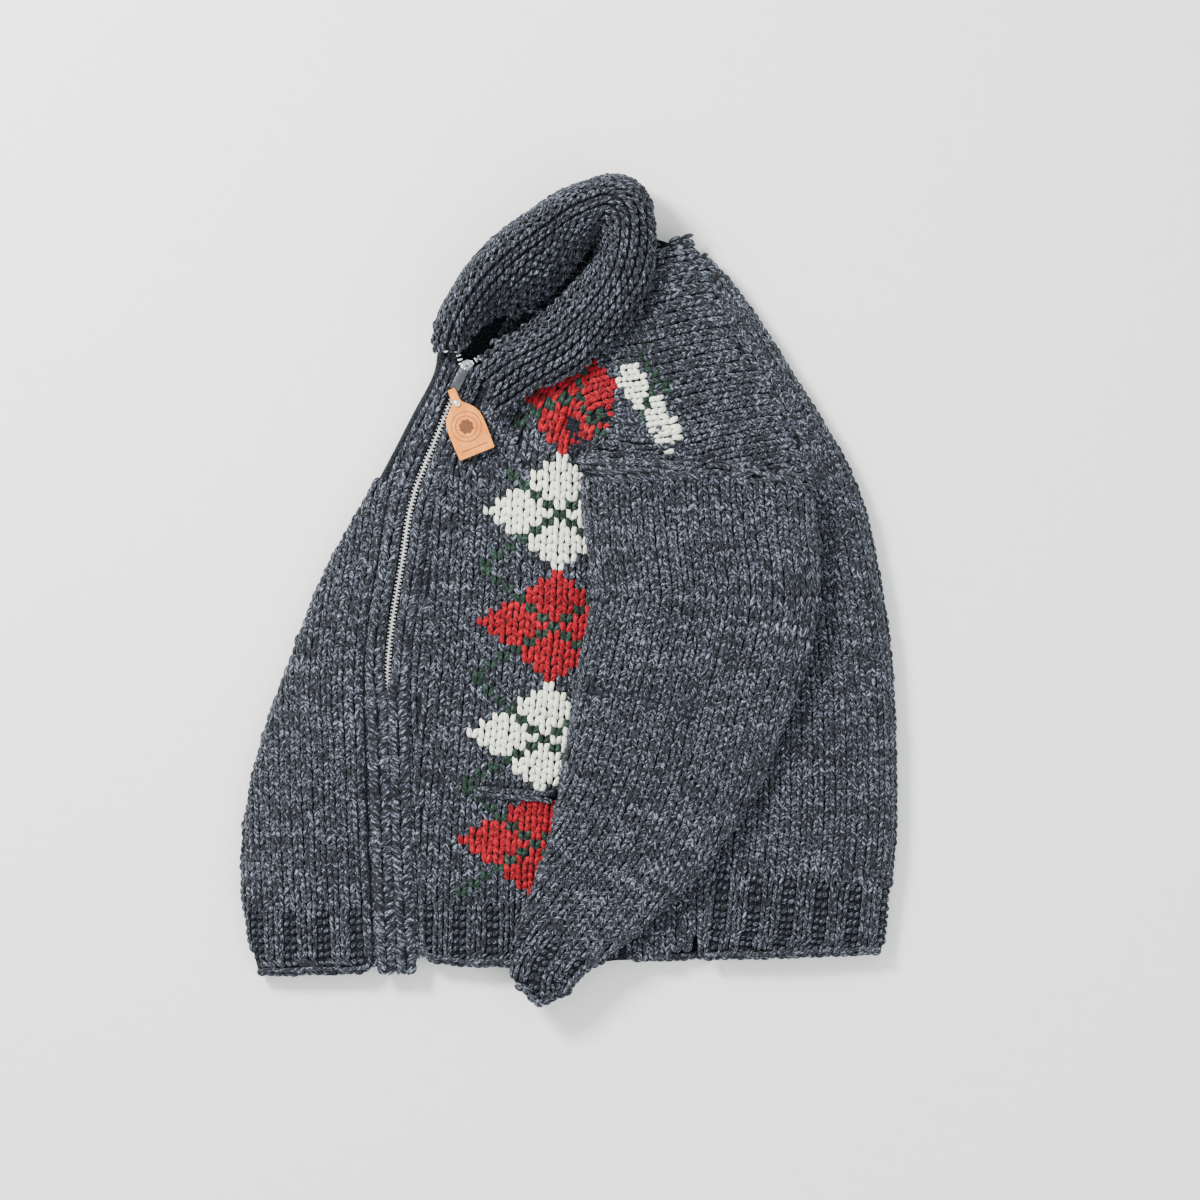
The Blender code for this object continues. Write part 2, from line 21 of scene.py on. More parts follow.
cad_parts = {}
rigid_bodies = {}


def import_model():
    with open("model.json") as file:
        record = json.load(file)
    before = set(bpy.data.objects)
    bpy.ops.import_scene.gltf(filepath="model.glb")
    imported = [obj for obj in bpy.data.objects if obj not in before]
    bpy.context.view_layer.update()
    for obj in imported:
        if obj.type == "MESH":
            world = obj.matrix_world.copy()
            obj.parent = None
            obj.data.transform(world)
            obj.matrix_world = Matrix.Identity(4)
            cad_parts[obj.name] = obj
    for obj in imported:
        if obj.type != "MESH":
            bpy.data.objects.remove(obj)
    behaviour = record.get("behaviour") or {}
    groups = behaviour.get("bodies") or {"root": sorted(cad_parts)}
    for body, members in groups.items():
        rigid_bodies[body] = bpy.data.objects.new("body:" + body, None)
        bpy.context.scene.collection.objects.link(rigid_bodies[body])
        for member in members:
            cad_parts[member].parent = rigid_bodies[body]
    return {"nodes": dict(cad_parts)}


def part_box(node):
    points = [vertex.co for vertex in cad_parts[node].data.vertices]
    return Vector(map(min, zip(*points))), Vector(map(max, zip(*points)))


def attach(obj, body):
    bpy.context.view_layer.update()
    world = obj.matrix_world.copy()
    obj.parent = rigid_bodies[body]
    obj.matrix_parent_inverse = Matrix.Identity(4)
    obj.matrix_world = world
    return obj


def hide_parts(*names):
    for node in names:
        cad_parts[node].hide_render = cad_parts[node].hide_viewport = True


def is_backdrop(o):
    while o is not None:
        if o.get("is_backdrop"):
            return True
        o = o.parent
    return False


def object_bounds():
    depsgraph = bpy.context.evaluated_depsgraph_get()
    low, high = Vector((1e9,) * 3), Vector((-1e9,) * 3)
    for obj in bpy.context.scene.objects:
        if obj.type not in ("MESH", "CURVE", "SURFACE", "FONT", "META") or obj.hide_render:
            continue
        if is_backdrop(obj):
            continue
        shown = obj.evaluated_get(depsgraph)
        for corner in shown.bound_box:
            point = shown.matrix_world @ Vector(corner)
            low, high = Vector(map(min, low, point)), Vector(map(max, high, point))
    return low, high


LOG = logging.getLogger("cardigan")
MM = 0.001
SEED = 20
ROW = 7.4  # pitch of the rows
SAMPLE = 1.5  # spacing of the samples that a section is cast at
NO_FOLD, FOLDLESS = -90.0, -80.0  # a section that doesn't go round the cloth's fold, and how that is told
NO_SIDE = (0.0, 0.0, 0.0)  # a side of a guide line that has no field


class Yarn(Enum):
    """The yarns of the chart; the value is the material slot of a stitch mesh."""

    GREY = 0
    RED = 1
    CREAM = 2
    GREEN = 3


# --------------------------------------------------------------------------- small mathematics


def linked(name: str, data: bpy.types.ID) -> bpy.types.Object:
    """A new object in the scene.

    Args:
        name: its name.
        data: its mesh, light or camera.

    Returns:
        The object.
    """
    o = bpy.data.objects.new(name, data)
    bpy.context.scene.collection.objects.link(o)
    return o


def smoothstep(t: np.ndarray) -> np.ndarray:
    """Eases from 0 to 1.

    Args:
        t: values, clipped to 0..1.

    Returns:
        The eased values.
    """
    t = np.clip(t, 0.0, 1.0)
    return t * t * (3 - 2 * t)


def hermite(knots: Sequence[Sequence[float]], t: np.ndarray) -> np.ndarray:
    """Smooth values through the lines of a table.

    Args:
        knots: the table's lines.
        t: table positions, 0 being the first line.

    Returns:
        One line of values for each position.
    """
    k = np.asarray(knots, float)
    step = np.maximum(np.linalg.norm(np.diff(k, axis=0), axis=1), 1e-6)
    slope = np.diff(k, axis=0) / step[:, None]
    tangent = np.empty_like(k)
    tangent[0], tangent[-1] = slope[0], slope[-1]
    tangent[1:-1] = (slope[:-1] * step[1:, None] + slope[1:] * step[:-1, None]) / (step[1:] + step[:-1])[:, None]
    t = np.atleast_1d(np.asarray(t, float))
    i = np.clip(t.astype(int), 0, len(k) - 2)
    f = (t - i)[:, None]
    h = step[i][:, None]
    return (
        (2 * f**3 - 3 * f**2 + 1) * k[i]
        + (f**3 - 2 * f**2 + f) * h * tangent[i]
        + (3 * f**2 - 2 * f**3) * k[i + 1]
        + (f**3 - f**2) * h * tangent[i + 1]
    )


def distance_to(points: Sequence[Sequence[float]], xy: np.ndarray) -> tuple[np.ndarray, np.ndarray]:
    """Distance of plan points to a polyline.

    Args:
        points: the polyline.
        xy: the plan points, one per line.

    Returns:
        The distances, and the side of each point (1 on the left of the line's run, -1 on the right).
    """
    p = np.asarray(points, float)
    best, side = np.full(len(xy), 1e9), np.zeros(len(xy))
    for a, b in zip(p[:-1], p[1:]):
        d = b - a
        rel = xy - a
        t = np.clip(rel @ d / (d @ d), 0, 1)
        off = rel - t[:, None] * d
        far = np.hypot(off[:, 0], off[:, 1])
        nearer = far < best
        best = np.where(nearer, far, best)
        side = np.where(nearer, np.sign(d[0] * rel[:, 1] - d[1] * rel[:, 0]), side)
    return best, side


class Path:
    """A smooth line in plan that rows of knitting are counted along."""

    def __init__(self, knots: Sequence[Sequence[float]]) -> None:
        """Fits the line.

        Args:
            knots: plan points that it passes through.
        """
        t = np.linspace(0, len(knots) - 1, 60 * len(knots))
        self.points = hermite(knots, t)
        self.knot_at = np.linspace(0, len(knots) - 1, len(t))
        steps = np.linalg.norm(np.diff(self.points, axis=0), axis=1)
        self.arc = np.concatenate([[0.0], np.cumsum(steps)])

    @property
    def length(self) -> float:
        """The line's length."""
        return float(self.arc[-1])

    def at(self, s: np.ndarray) -> tuple[np.ndarray, np.ndarray, np.ndarray]:
        """Points of the line.

        Args:
            s: distances along it.

        Returns:
            The points, the unit directions along the line, and the unit directions to its right.
        """
        s = np.atleast_1d(s)
        p = np.column_stack([np.interp(s, self.arc, self.points[:, k]) for k in (0, 1)])
        ahead = np.column_stack([np.interp(s + 2, self.arc, self.points[:, k]) for k in (0, 1)])
        behind = np.column_stack([np.interp(s - 2, self.arc, self.points[:, k]) for k in (0, 1)])
        d = ahead - behind
        d /= np.linalg.norm(d, axis=1)[:, None]
        return p, d, np.column_stack([d[:, 1], -d[:, 0]])

    def knot_arc(self, knot: float) -> float:
        """Distance along the line of a table position.

        Args:
            knot: the position in the table of knots.

        Returns:
            The distance.
        """
        return float(np.interp(knot, self.knot_at, self.arc))


# --------------------------------------------------------------------------- the cloth's lie

ZIP_LINE = [
    (-154, -346), (-156, -290), (-158, -235), (-160.5, -150), (-162, -65), (-149, 28), (-139, 85), (-121, 132),
    (-107, 166), (-97, 190), (-90, 206),
]
RIGHT_OUTLINE = [
    (286, -329), (290, -280), (295, -225), (295, -140), (291, -60), (281, 10), (268, 72), (245, 127), (208, 186),
    (154, 271), (106, 321),
]
ARGYLE_LINE = [
    (-33, -346), (-29, -229), (-21, -134), (-12, -32.5), (-7, 69), (-5, 117), (0, 148), (12, 173), (37, 184),
    (79, 191), (130, 203), (190, 212), (232, 220),
]
CREAM_SIDE = [(40, 226), (46, 215), (61, 203), (78, 183), (92, 161), (103, 133), (108, 118)]
SLEEVE_LINE = [
    (115, 112), (119, 45), (124, -8), (113, -61), (101, -108), (86, -165), (53, -240), (20, -285), (-7, -321),
    (-24, -350), (-24, -374),
]
SHOULDER_FOLD = [(119, 322), (124, 290), (139, 252), (153, 223), (173, 196), (194, 161), (210, 124), (216, 101)]

COLLAR = [
    ((-118, 212, 33), (-107, 213, 43), (-97, 212, 36)),
    ((-117, 236, 17), (-101, 234, 50), (-86, 231, 28)),
    ((-104, 265, 4), (-88, 258, 56), (-68, 247, 24)),
    ((-86, 293, 3), (-70, 281, 60), (-48, 257, 22)),
    ((-62, 318, 3), (-48, 302, 62), (-29, 264, 22)),
    ((-30, 341, 3), (-20, 322, 64), (-13, 273, 22)),
    ((-4, 358, 3), (2, 338, 66), (-1, 285, 23)),
    ((19, 366, 4), (20, 346, 69), (8, 299, 25)),
    ((42, 371, 12), (36, 350, 71), (15, 311, 27)),
    ((60, 364, 25), (47, 345, 72), (20, 318, 28)),
    ((71, 349, 38), (53, 335, 71), (24, 317, 28)),
    ((75, 330, 43), (54, 320, 68), (27, 311, 27)),
    ((75, 306, 44), (52, 302, 66), (27, 300, 26)),
    ((72, 278, 44), (44, 278, 65), (16, 285, 26)),
    ((61, 255, 44), (28, 255, 64), (3, 271, 26)),
    ((46, 234, 43), (12, 238, 63), (-9, 258, 26)),
    ((29, 215, 43), (-3, 224, 62), (-22, 246, 27)),
    ((10, 199, 42), (-17, 215, 60), (-36, 235, 28)),
    ((-8, 191, 41), (-31, 208, 57), (-49, 228, 30)),
    ((-27, 183, 40), (-46, 200, 53), (-60, 222, 32)),
    ((-52, 163, 38), (-61, 189, 49), (-72, 212, 34)),
    ((-68, 152, 37), (-71, 181, 45), (-79, 203, 35)),
]


@dataclass(frozen=True)
class Crease:
    """A soft valley (negative depth) or ridge pressed into the cloth along a line."""

    line: tuple[tuple[float, float], ...]
    depth: float
    width: float

    def lift(self, xy: np.ndarray) -> np.ndarray:
        """How far the crease moves the cloth up.

        Args:
            xy: plan points.

        Returns:
            One height per point.
        """
        far, _ = distance_to(self.line, xy)
        return self.depth * np.exp(-((far / self.width) ** 2))


@dataclass(frozen=True)
class Step:
    """A change of level along a line: one side up, the other down."""

    line: tuple[tuple[float, float], ...]
    height: float
    width: float

    def lift(self, xy: np.ndarray) -> np.ndarray:
        """How far the step moves the cloth up.

        Args:
            xy: plan points.

        Returns:
            One height per point: positive on the right of the line's run, fading out away from it.
        """
        far, side = distance_to(self.line, xy)
        return -side * self.height * np.exp(-((far / (2.6 * self.width)) ** 2)) * smoothstep(far / self.width)


LIE = {
    "left_front": (
        Crease(((-145, -340), (-147, -150), (-146, -60), (-130, 30), (-117, 90), (-100, 140)), -2.6, 4.0),
        Crease(((14, 112), (8, 134), (4, 152)), -9.0, 9.0),
        Crease(((-45, 150), (-60, 120), (-70, 60), (-72, 0)), -3.5, 22.0),
        Crease(((-48, 178), (-30, 188), (-5, 196), (15, 208)), -5.0, 12.0),
        Crease(((-25, 165), (-20, 120), (-30, 60)), 3.0, 20.0),
        Crease(((-82, -174), (-12, -179)), -3.2, 3.4),
        Crease(((45, 190), (70, 210), (80, 250)), -2.5, 12.0),
        Crease(((22, 148), (40, 165), (80, 140)), 2.0, 14.0),
        Crease(((-90, -340), (-92, -290)), -1.5, 12.0),
    ),
    "right_front": (
        Crease(((-178, -340), (-182, -240), (-183, -150), (-185, -60), (-176, 20)), -2.6, 4.5),
        Crease(((-215, -349), (-212, -310), (-214, -270)), -2.5, 12.0),
        Crease(((-245, -250), (-240, -180), (-222, -90)), 2.0, 20.0),
        Crease(((-200, -250), (-205, -150), (-195, -60)), -1.5, 16.0),
    ),
    "back": (
        Step(tuple(SHOULDER_FOLD), -3.5, 7.0),
        Crease(((126, 296), (146, 252), (162, 224), (182, 196), (203, 160)), -2.5, 7.0),
        Crease(((262, -200), (258, -100), (240, 0)), 1.6, 18.0),
        Crease(((228, 90), (236, 20), (232, -50)), -2.5, 12.0),
        Crease(((-42, 262), (-38, 250)), 10.0, 20.0),
    ),
    "left_sleeve": (
        Crease(((142, 100), (146, 40), (140, -30), (143, -45)), -2.2, 17.0),
        Crease(((6, -98), (40, -92), (80, -102), (112, -112)), -5.0, 12.0),
        Crease(((120, -78), (136, -104)), -4.0, 14.0),
        Crease(((40, -182), (70, -188), (100, -202)), -4.5, 12.0),
        Crease(((60, -128), (110, -150), (150, -160)), 3.0, 14.0),
        Crease(((20, -58), (80, -62), (130, -60)), 2.0, 14.0),
        Crease(((-8, -232), (6, -238)), -4.0, 9.0),
        Crease(((20, -262), (50, -250), (84, -236)), -2.6, 10.0),
        Crease(((190, 70), (196, 10), (184, -60)), 1.6, 16.0),
        Crease(((60, 96), (56, 40), (62, -10)), 1.6, 20.0),
    ),
}


class Cloth:
    """A smoothed copy of one packed panel, with the lie of the cloth pressed in, that stitches are cast onto."""

    def __init__(self, node: bpy.types.Object, levels: int = 2) -> None:
        """Builds the smooth copy.

        Args:
            node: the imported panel.
            levels: how many times its mesh is subdivided.
        """
        self.name = node.name
        bm = bmesh.new()
        bm.from_mesh(node.data)
        bmesh.ops.remove_doubles(bm, verts=bm.verts, dist=2e-5)
        bmesh.ops.join_triangles(
            bm, faces=bm.faces, angle_face_threshold=math.radians(50), angle_shape_threshold=math.radians(65)
        )
        mesh = bpy.data.meshes.new(f"{node.name}_smooth")
        bm.to_mesh(mesh)
        bm.free()
        self.object = linked(f"{node.name}_cloth", mesh)
        sub = self.object.modifiers.new("round", "SUBSURF")
        sub.levels = sub.render_levels = levels
        depsgraph = bpy.context.evaluated_depsgraph_get()
        done = bpy.data.meshes.new_from_object(self.object.evaluated_get(depsgraph))
        self.object.modifiers.clear()
        self.object.data = done
        self._press(done)
        for p in done.polygons:
            p.use_smooth = True
        self.tree = self._tree(done)

    def _press(self, mesh: bpy.types.Mesh) -> None:
        """Presses creases into the upward-facing cloth.

        Args:
            mesh: the mesh to move.
        """
        n = len(mesh.vertices)
        co = np.empty(n * 3)
        mesh.vertices.foreach_get("co", co)
        co = co.reshape(-1, 3)
        normal = np.array([v.normal for v in mesh.vertices])
        lift = np.zeros(n)
        for feature in LIE.get(self.name, ()):
            lift += feature.lift(co[:, :2] / MM)
        co[:, 2] += lift * smoothstep((normal[:, 2] - 0.1) / 0.6) * MM
        mesh.vertices.foreach_set("co", co.ravel())
        mesh.update()

    @staticmethod
    def _tree(mesh: bpy.types.Mesh) -> BVHTree:
        """A search tree of a mesh.

        Args:
            mesh: the mesh.

        Returns:
            The tree.
        """
        bm = bmesh.new()
        bm.from_mesh(mesh)
        tree = BVHTree.FromBMesh(bm)
        bm.free()
        return tree

    def down(self, x: float, y: float) -> Optional[np.ndarray]:
        """The highest point of the cloth over a plan point.

        Args:
            x: plan x.
            y: plan y.

        Returns:
            The point, or None beside the cloth.
        """
        hit = self.tree.ray_cast(Vector((x * MM, y * MM, 0.3)), Vector((0, 0, -1)))[0]
        return None if hit is None else np.array(hit) / MM

    def section(self, at: np.ndarray, out: np.ndarray, inner: float, reach: float, wrap: float) -> Optional[np.ndarray]:
        """The cloth's outside profile in one upright plane, from a plan point outwards and round its fold.

        Args:
            at: plan point of the row.
            out: unit plan direction outwards.
            inner: where the profile starts, measured outwards from the point.
            reach: how far out the fold is looked for.
            wrap: degrees below the horizontal where the profile ends, or NO_FOLD.

        Returns:
            The profile's points, or None where there is no cloth.
        """
        offsets = np.arange(inner, reach, SAMPLE)
        flat = []
        for o in offsets:
            hit = self.down(*(at + out * o))
            if hit is None:
                if flat:
                    break
                continue
            flat.append((o, hit[2]))
        if len(flat) < 4:
            return None
        flat = np.array(flat)
        edge = flat[-1, 0]
        radius = 10.0
        keep = flat[flat[:, 0] < edge - radius]
        if wrap < FOLDLESS or len(keep) < 2:
            return np.column_stack([at + np.outer(flat[:, 0], out), flat[:, 1]])
        top = keep[-1, 1]
        centre = at + out * (edge - radius)
        under = self.tree.ray_cast(Vector((*(centre * MM), -0.05)), Vector((0, 0, 1)))[0]
        low = 0.0 if under is None else under[2] / MM
        points = [(*(at + out * o), z) for o, z in keep]
        for a in np.radians(np.arange(84, -wrap - 1, -7.0)):
            d = np.array([*(out * math.cos(a)), math.sin(a)])
            start = np.array([*centre, (top + low) / 2]) + d * 40
            hit = self.tree.ray_cast(Vector(start * MM), Vector(-d))[0]
            if hit is not None:
                points.append(tuple(np.array(hit) / MM))
        return np.array(points)


class Cover:
    """Tells which places of the cloth are hidden for good under other pieces."""

    WAYS = ((0, 0, 1), (0.6, 0, 0.8), (-0.6, 0, 0.8), (0, 0.6, 0.8), (0, -0.6, 0.8))
    REACH = 0.11  # how far a cover is looked for, in metres

    def __init__(self, cloths: dict[str, Cloth]) -> None:
        """Takes the pieces that can hide a place.

        Args:
            cloths: the cloth pieces by name.
        """
        self.cloths = cloths

    def hides(self, point: np.ndarray, normal: np.ndarray, own: Iterable[str]) -> bool:
        """Whether other pieces hide a place from every side.

        Args:
            point: the place.
            normal: the cloth's outward direction there.
            own: names of the pieces that the place is on.

        Returns:
            True if it can't be seen.
        """
        if normal[2] < -0.2:
            return False
        start = Vector((point + normal * 3.0) * MM)
        for way in self.WAYS:
            if not any(
                cloth.tree.ray_cast(start, Vector(way), self.REACH)[0] is not None
                for name, cloth in self.cloths.items()
                if name not in own
            ):
                return False
        return True


# --------------------------------------------------------------------------- yarn


@dataclass(frozen=True)
class Loop:
    """Shape of half a knitted loop, in a cell of one wale by one row."""

    wale: float = 10.4
    row: float = ROW
    foot: float = 1.15
    shoulder: float = 4.15
    low: float = -5.2
    high: float = 6.0
    rise: float = 2.5
    sink: float = -1.9
    half_width: float = 2.75
    half_height: float = 1.75
    around: int = 6
    rings: int = 7
    twist: float = 2.6


class LoopTemplate:
    """One plump leg of yarn, made from a sphere drawn out along the loop's line."""

    def __init__(self, shape: Loop) -> None:
        """Builds the leg.

        Args:
            shape: its sizes.
        """
        bm = bmesh.new()
        bmesh.ops.create_uvsphere(bm, u_segments=shape.around, v_segments=shape.rings, radius=1.0)
        bm.verts.ensure_lookup_table()
        co = np.array([v.co for v in bm.verts])
        self.faces = [[v.index for v in f.verts] for f in bm.faces]
        bm.free()
        t = np.arccos(np.clip(-co[:, 2], -1, 1)) / math.pi
        phi = np.arctan2(co[:, 1], co[:, 0])
        ring = np.hypot(co[:, 0], co[:, 1]) > 1e-4
        girth = np.where(ring, np.sin(np.clip(t, 0.04, 0.96) * math.pi) ** 0.45, 0.0)
        line = np.column_stack(
            [
                shape.foot + (shape.shoulder - shape.foot) * t**0.85,
                shape.low + (shape.high - shape.low) * t,
                shape.sink + shape.rise * np.sin(math.pi * t) ** 0.7,
            ]
        )
        lean = math.atan2(shape.shoulder - shape.foot, shape.high - shape.low)
        x = np.cos(phi) * girth * shape.half_width
        z = np.sin(phi) * girth * shape.half_height
        self.points = line + np.column_stack([x * math.cos(lean), -x * math.sin(lean), z])
        turn = phi + shape.twist * t
        self.fibre = np.column_stack(
            [np.cos(turn) * girth * 2.2, np.sin(turn) * girth * 2.2, t * (shape.high - shape.low) * 0.34]
        )


@dataclass
class Legs:
    """Legs of yarn waiting to be made into one mesh."""

    at: list[np.ndarray] = field(default_factory=list)
    side: list[np.ndarray] = field(default_factory=list)
    up: list[np.ndarray] = field(default_factory=list)
    normal: list[np.ndarray] = field(default_factory=list)
    mirror: list[float] = field(default_factory=list)
    yarn: list[int] = field(default_factory=list)
    tone: list[float] = field(default_factory=list)

    def add(
        self,
        at: np.ndarray,
        side: np.ndarray,
        up: np.ndarray,
        normal: np.ndarray,
        mirror: float,
        yarn: Yarn,
        tone: float,
    ) -> None:
        """Adds one leg.

        Args:
            at: its cell's middle.
            side: the cell's direction across, as long as the leg is widened.
            up: the cell's direction along, as long as the leg is lengthened.
            normal: unit direction out of the cloth.
            mirror: 1 for a right leg, -1 for a left one.
            yarn: its yarn.
            tone: how light its melange is, 0 to 1; sunk legs are given a lowered tone as painted shade.
        """
        self.at.append(at)
        self.side.append(side)
        self.up.append(up)
        self.normal.append(normal)
        self.mirror.append(mirror)
        self.yarn.append(yarn.value)
        self.tone.append(tone)

    def stitch(
        self, at: np.ndarray, side: np.ndarray, up: np.ndarray, normal: np.ndarray, yarn: Yarn, tone: float
    ) -> None:
        """Adds one knit stitch, the V of two legs.

        Args:
            at: the cell's middle.
            side: the cell's direction across, with its stretch.
            up: the cell's direction along, with its stretch.
            normal: unit direction out of the cloth.
            yarn: its yarn.
            tone: how light its melange is.
        """
        self.add(at, side, up, normal, 1.0, yarn, tone)
        self.add(at, side, up, normal, -1.0, yarn, tone)

    def mesh(self, name: str, template: LoopTemplate, rng: np.random.Generator) -> Optional[bpy.types.Object]:
        """Makes all the legs as one mesh object.

        Args:
            name: the object's name.
            template: the leg.
            rng: the seeded source of small irregularities.

        Returns:
            The object, or None with no legs.
        """
        n = len(self.at)
        if not n:
            return None
        at, side, up, normal = (np.array(a) for a in (self.at, self.side, self.up, self.normal))
        mirror, tone = np.array(self.mirror), np.array(self.tone)
        for way, spread in ((normal, 0.30), (side, 0.32), (up, 0.42)):
            at = at + way * rng.normal(0, spread, (n, 1))
        fat = 1 + rng.normal(0, 0.10, (n, 1, 1))
        spin = rng.normal(0, 0.085, (n, 1))
        side, up = side + up * spin, up - side * spin
        p = template.points
        m = len(p)
        verts = (
            at[:, None]
            + side[:, None] * (p[None, :, 0:1] * mirror[:, None, None])
            + up[:, None] * p[None, :, 1:2]
            + normal[:, None] * p[None, :, 2:3] * fat
        ).reshape(-1, 3) * MM
        size = np.array([len(f) for f in template.faces])
        starts = np.concatenate([[0], np.cumsum(size)])
        flat = np.concatenate([np.array(f) for f in template.faces])
        flipped = np.concatenate([np.array(f[::-1]) for f in template.faces])
        right = mirror > 0
        every = np.where(right[:, None], flat[None], flipped[None]) + (np.arange(n) * m)[:, None]
        mesh = bpy.data.meshes.new(name)
        mesh.vertices.add(n * m)
        mesh.vertices.foreach_set("co", verts.ravel())
        mesh.loops.add(every.size)
        mesh.loops.foreach_set("vertex_index", every.ravel().astype(np.int32))
        mesh.polygons.add(n * len(size))
        mesh.polygons.foreach_set(
            "loop_start", (starts[None, :-1] + (np.arange(n) * starts[-1])[:, None]).ravel().astype(np.int32)
        )
        mesh.polygons.foreach_set("material_index", np.repeat(np.array(self.yarn, np.int32), len(size)))
        mesh.polygons.foreach_set("use_smooth", np.ones(n * len(size), bool))
        fibre = mesh.attributes.new("fibre", "FLOAT_VECTOR", "POINT")
        seeds = rng.uniform(0, 60, (n, 1, 3))
        fibre.data.foreach_set("vector", (template.fibre[None] + seeds).ravel().astype(np.float32))
        shade = mesh.attributes.new("tone", "FLOAT", "POINT")
        shade.data.foreach_set("value", np.repeat(tone, m).astype(np.float32))
        mesh.update(calc_edges=True)
        for yarn in Yarn:
            mesh.materials.append(WOOLS[yarn])
        return linked(name, mesh)


# --------------------------------------------------------------------------- materials

WOOLS: dict[Yarn, bpy.types.Material] = {}


@dataclass(frozen=True)
class Wool:
    """A wool: dark, middle, light and fleck colours of its fibres."""

    name: str
    dark: tuple[float, float, float]
    middle: tuple[float, float, float]
    light: tuple[float, float, float]
    fleck: tuple[float, float, float]
    fleck_from: float


WOOL_COLOURS = {
    Yarn.GREY: Wool(
        "wool_grey", (0.0014, 0.0017, 0.0025), (0.01, 0.0117, 0.0162), (0.037, 0.043, 0.059), (0.26, 0.295, 0.37), 0.655
    ),
    Yarn.RED: Wool("wool_red", (0.06, 0.0, 0.001), (0.23, 0.0, 0.005), (0.37, 0.0, 0.011), (0.50, 0.006, 0.025), 0.80),
    Yarn.CREAM: Wool(
        "wool_cream", (0.55, 0.56, 0.46), (0.83, 0.85, 0.72), (0.91, 0.92, 0.82), (0.94, 0.95, 0.90), 0.80
    ),
    Yarn.GREEN: Wool(
        "wool_green", (0.002, 0.006, 0.004), (0.006, 0.020, 0.013), (0.014, 0.040, 0.026), (0.06, 0.11, 0.08), 0.78
    ),
}


class Nodes:
    """Short calls for building a node tree."""

    def __init__(self, tree: bpy.types.NodeTree) -> None:
        """Wraps a tree.

        Args:
            tree: the node tree.
        """
        self.tree = tree

    def new(self, kind: str, inputs: Optional[dict] = None, **props: object) -> bpy.types.Node:
        """Adds a node.

        Args:
            kind: the node's type.
            inputs: socket name or number to a value, or to a socket to link.
            props: the node's own settings.

        Returns:
            The node.
        """
        node = self.tree.nodes.new(kind)
        for key, value in props.items():
            setattr(node, key, value)
        self.fill(node, inputs or {})
        return node

    def fill(self, node: bpy.types.Node, inputs: dict) -> None:
        """Sets a node's inputs.

        Args:
            node: the node.
            inputs: socket name or number to a value, or to a socket to link.
        """
        for key, value in inputs.items():
            if isinstance(value, bpy.types.NodeSocket):
                self.tree.links.new(value, node.inputs[key])
            else:
                node.inputs[key].default_value = value

    def maths(self, how: str, *values: object) -> bpy.types.NodeSocket:
        """A Math node.

        Args:
            how: its operation.
            values: its inputs.

        Returns:
            Its value.
        """
        return self.new("ShaderNodeMath", dict(enumerate(values)), operation=how).outputs[0]

    def blend(
        self, one: bpy.types.NodeSocket, share: float, other: bpy.types.NodeSocket, rest: float
    ) -> bpy.types.NodeSocket:
        """A weighted sum of two values.

        Args:
            one: the first value.
            share: its weight.
            other: the second value.
            rest: its weight.

        Returns:
            The sum.
        """
        return self.maths("ADD", self.maths("MULTIPLY", one, share), self.maths("MULTIPLY", other, rest))

    def near(self, value: bpy.types.NodeSocket, middle: float, half: float) -> bpy.types.NodeSocket:
        """A mask of where a value is close to another.

        Args:
            value: the value.
            middle: what it is compared with.
            half: how close it has to be.

        Returns:
            1 where it is close, 0 elsewhere.
        """
        return self.maths("LESS_THAN", self.maths("ABSOLUTE", self.maths("SUBTRACT", value, middle)), half)

    def noise(self, at: bpy.types.NodeSocket, scale: float, detail: float, rough: float) -> bpy.types.NodeSocket:
        """A Noise Texture node.

        Args:
            at: the place that it reads.
            scale: its scale.
            detail: its detail.
            rough: its roughness.

        Returns:
            Its value.
        """
        settings = {"Vector": at, "Scale": scale, "Detail": detail, "Roughness": rough}
        return self.new("ShaderNodeTexNoise", settings).outputs[0]

    def ramp(
        self, value: bpy.types.NodeSocket, stops: Sequence[tuple[float, tuple[float, ...]]]
    ) -> bpy.types.NodeSocket:
        """A colour ramp.

        Args:
            value: what it reads.
            stops: places and colours.

        Returns:
            Its colour.
        """
        node = self.new("ShaderNodeValToRGB", {0: value})
        ramp = node.color_ramp
        while len(ramp.elements) < len(stops):
            ramp.elements.new(0.5)
        for element, (place, colour) in zip(ramp.elements, stops):
            element.position = place
            element.color = (*colour, 1.0)
        return node.outputs[0]


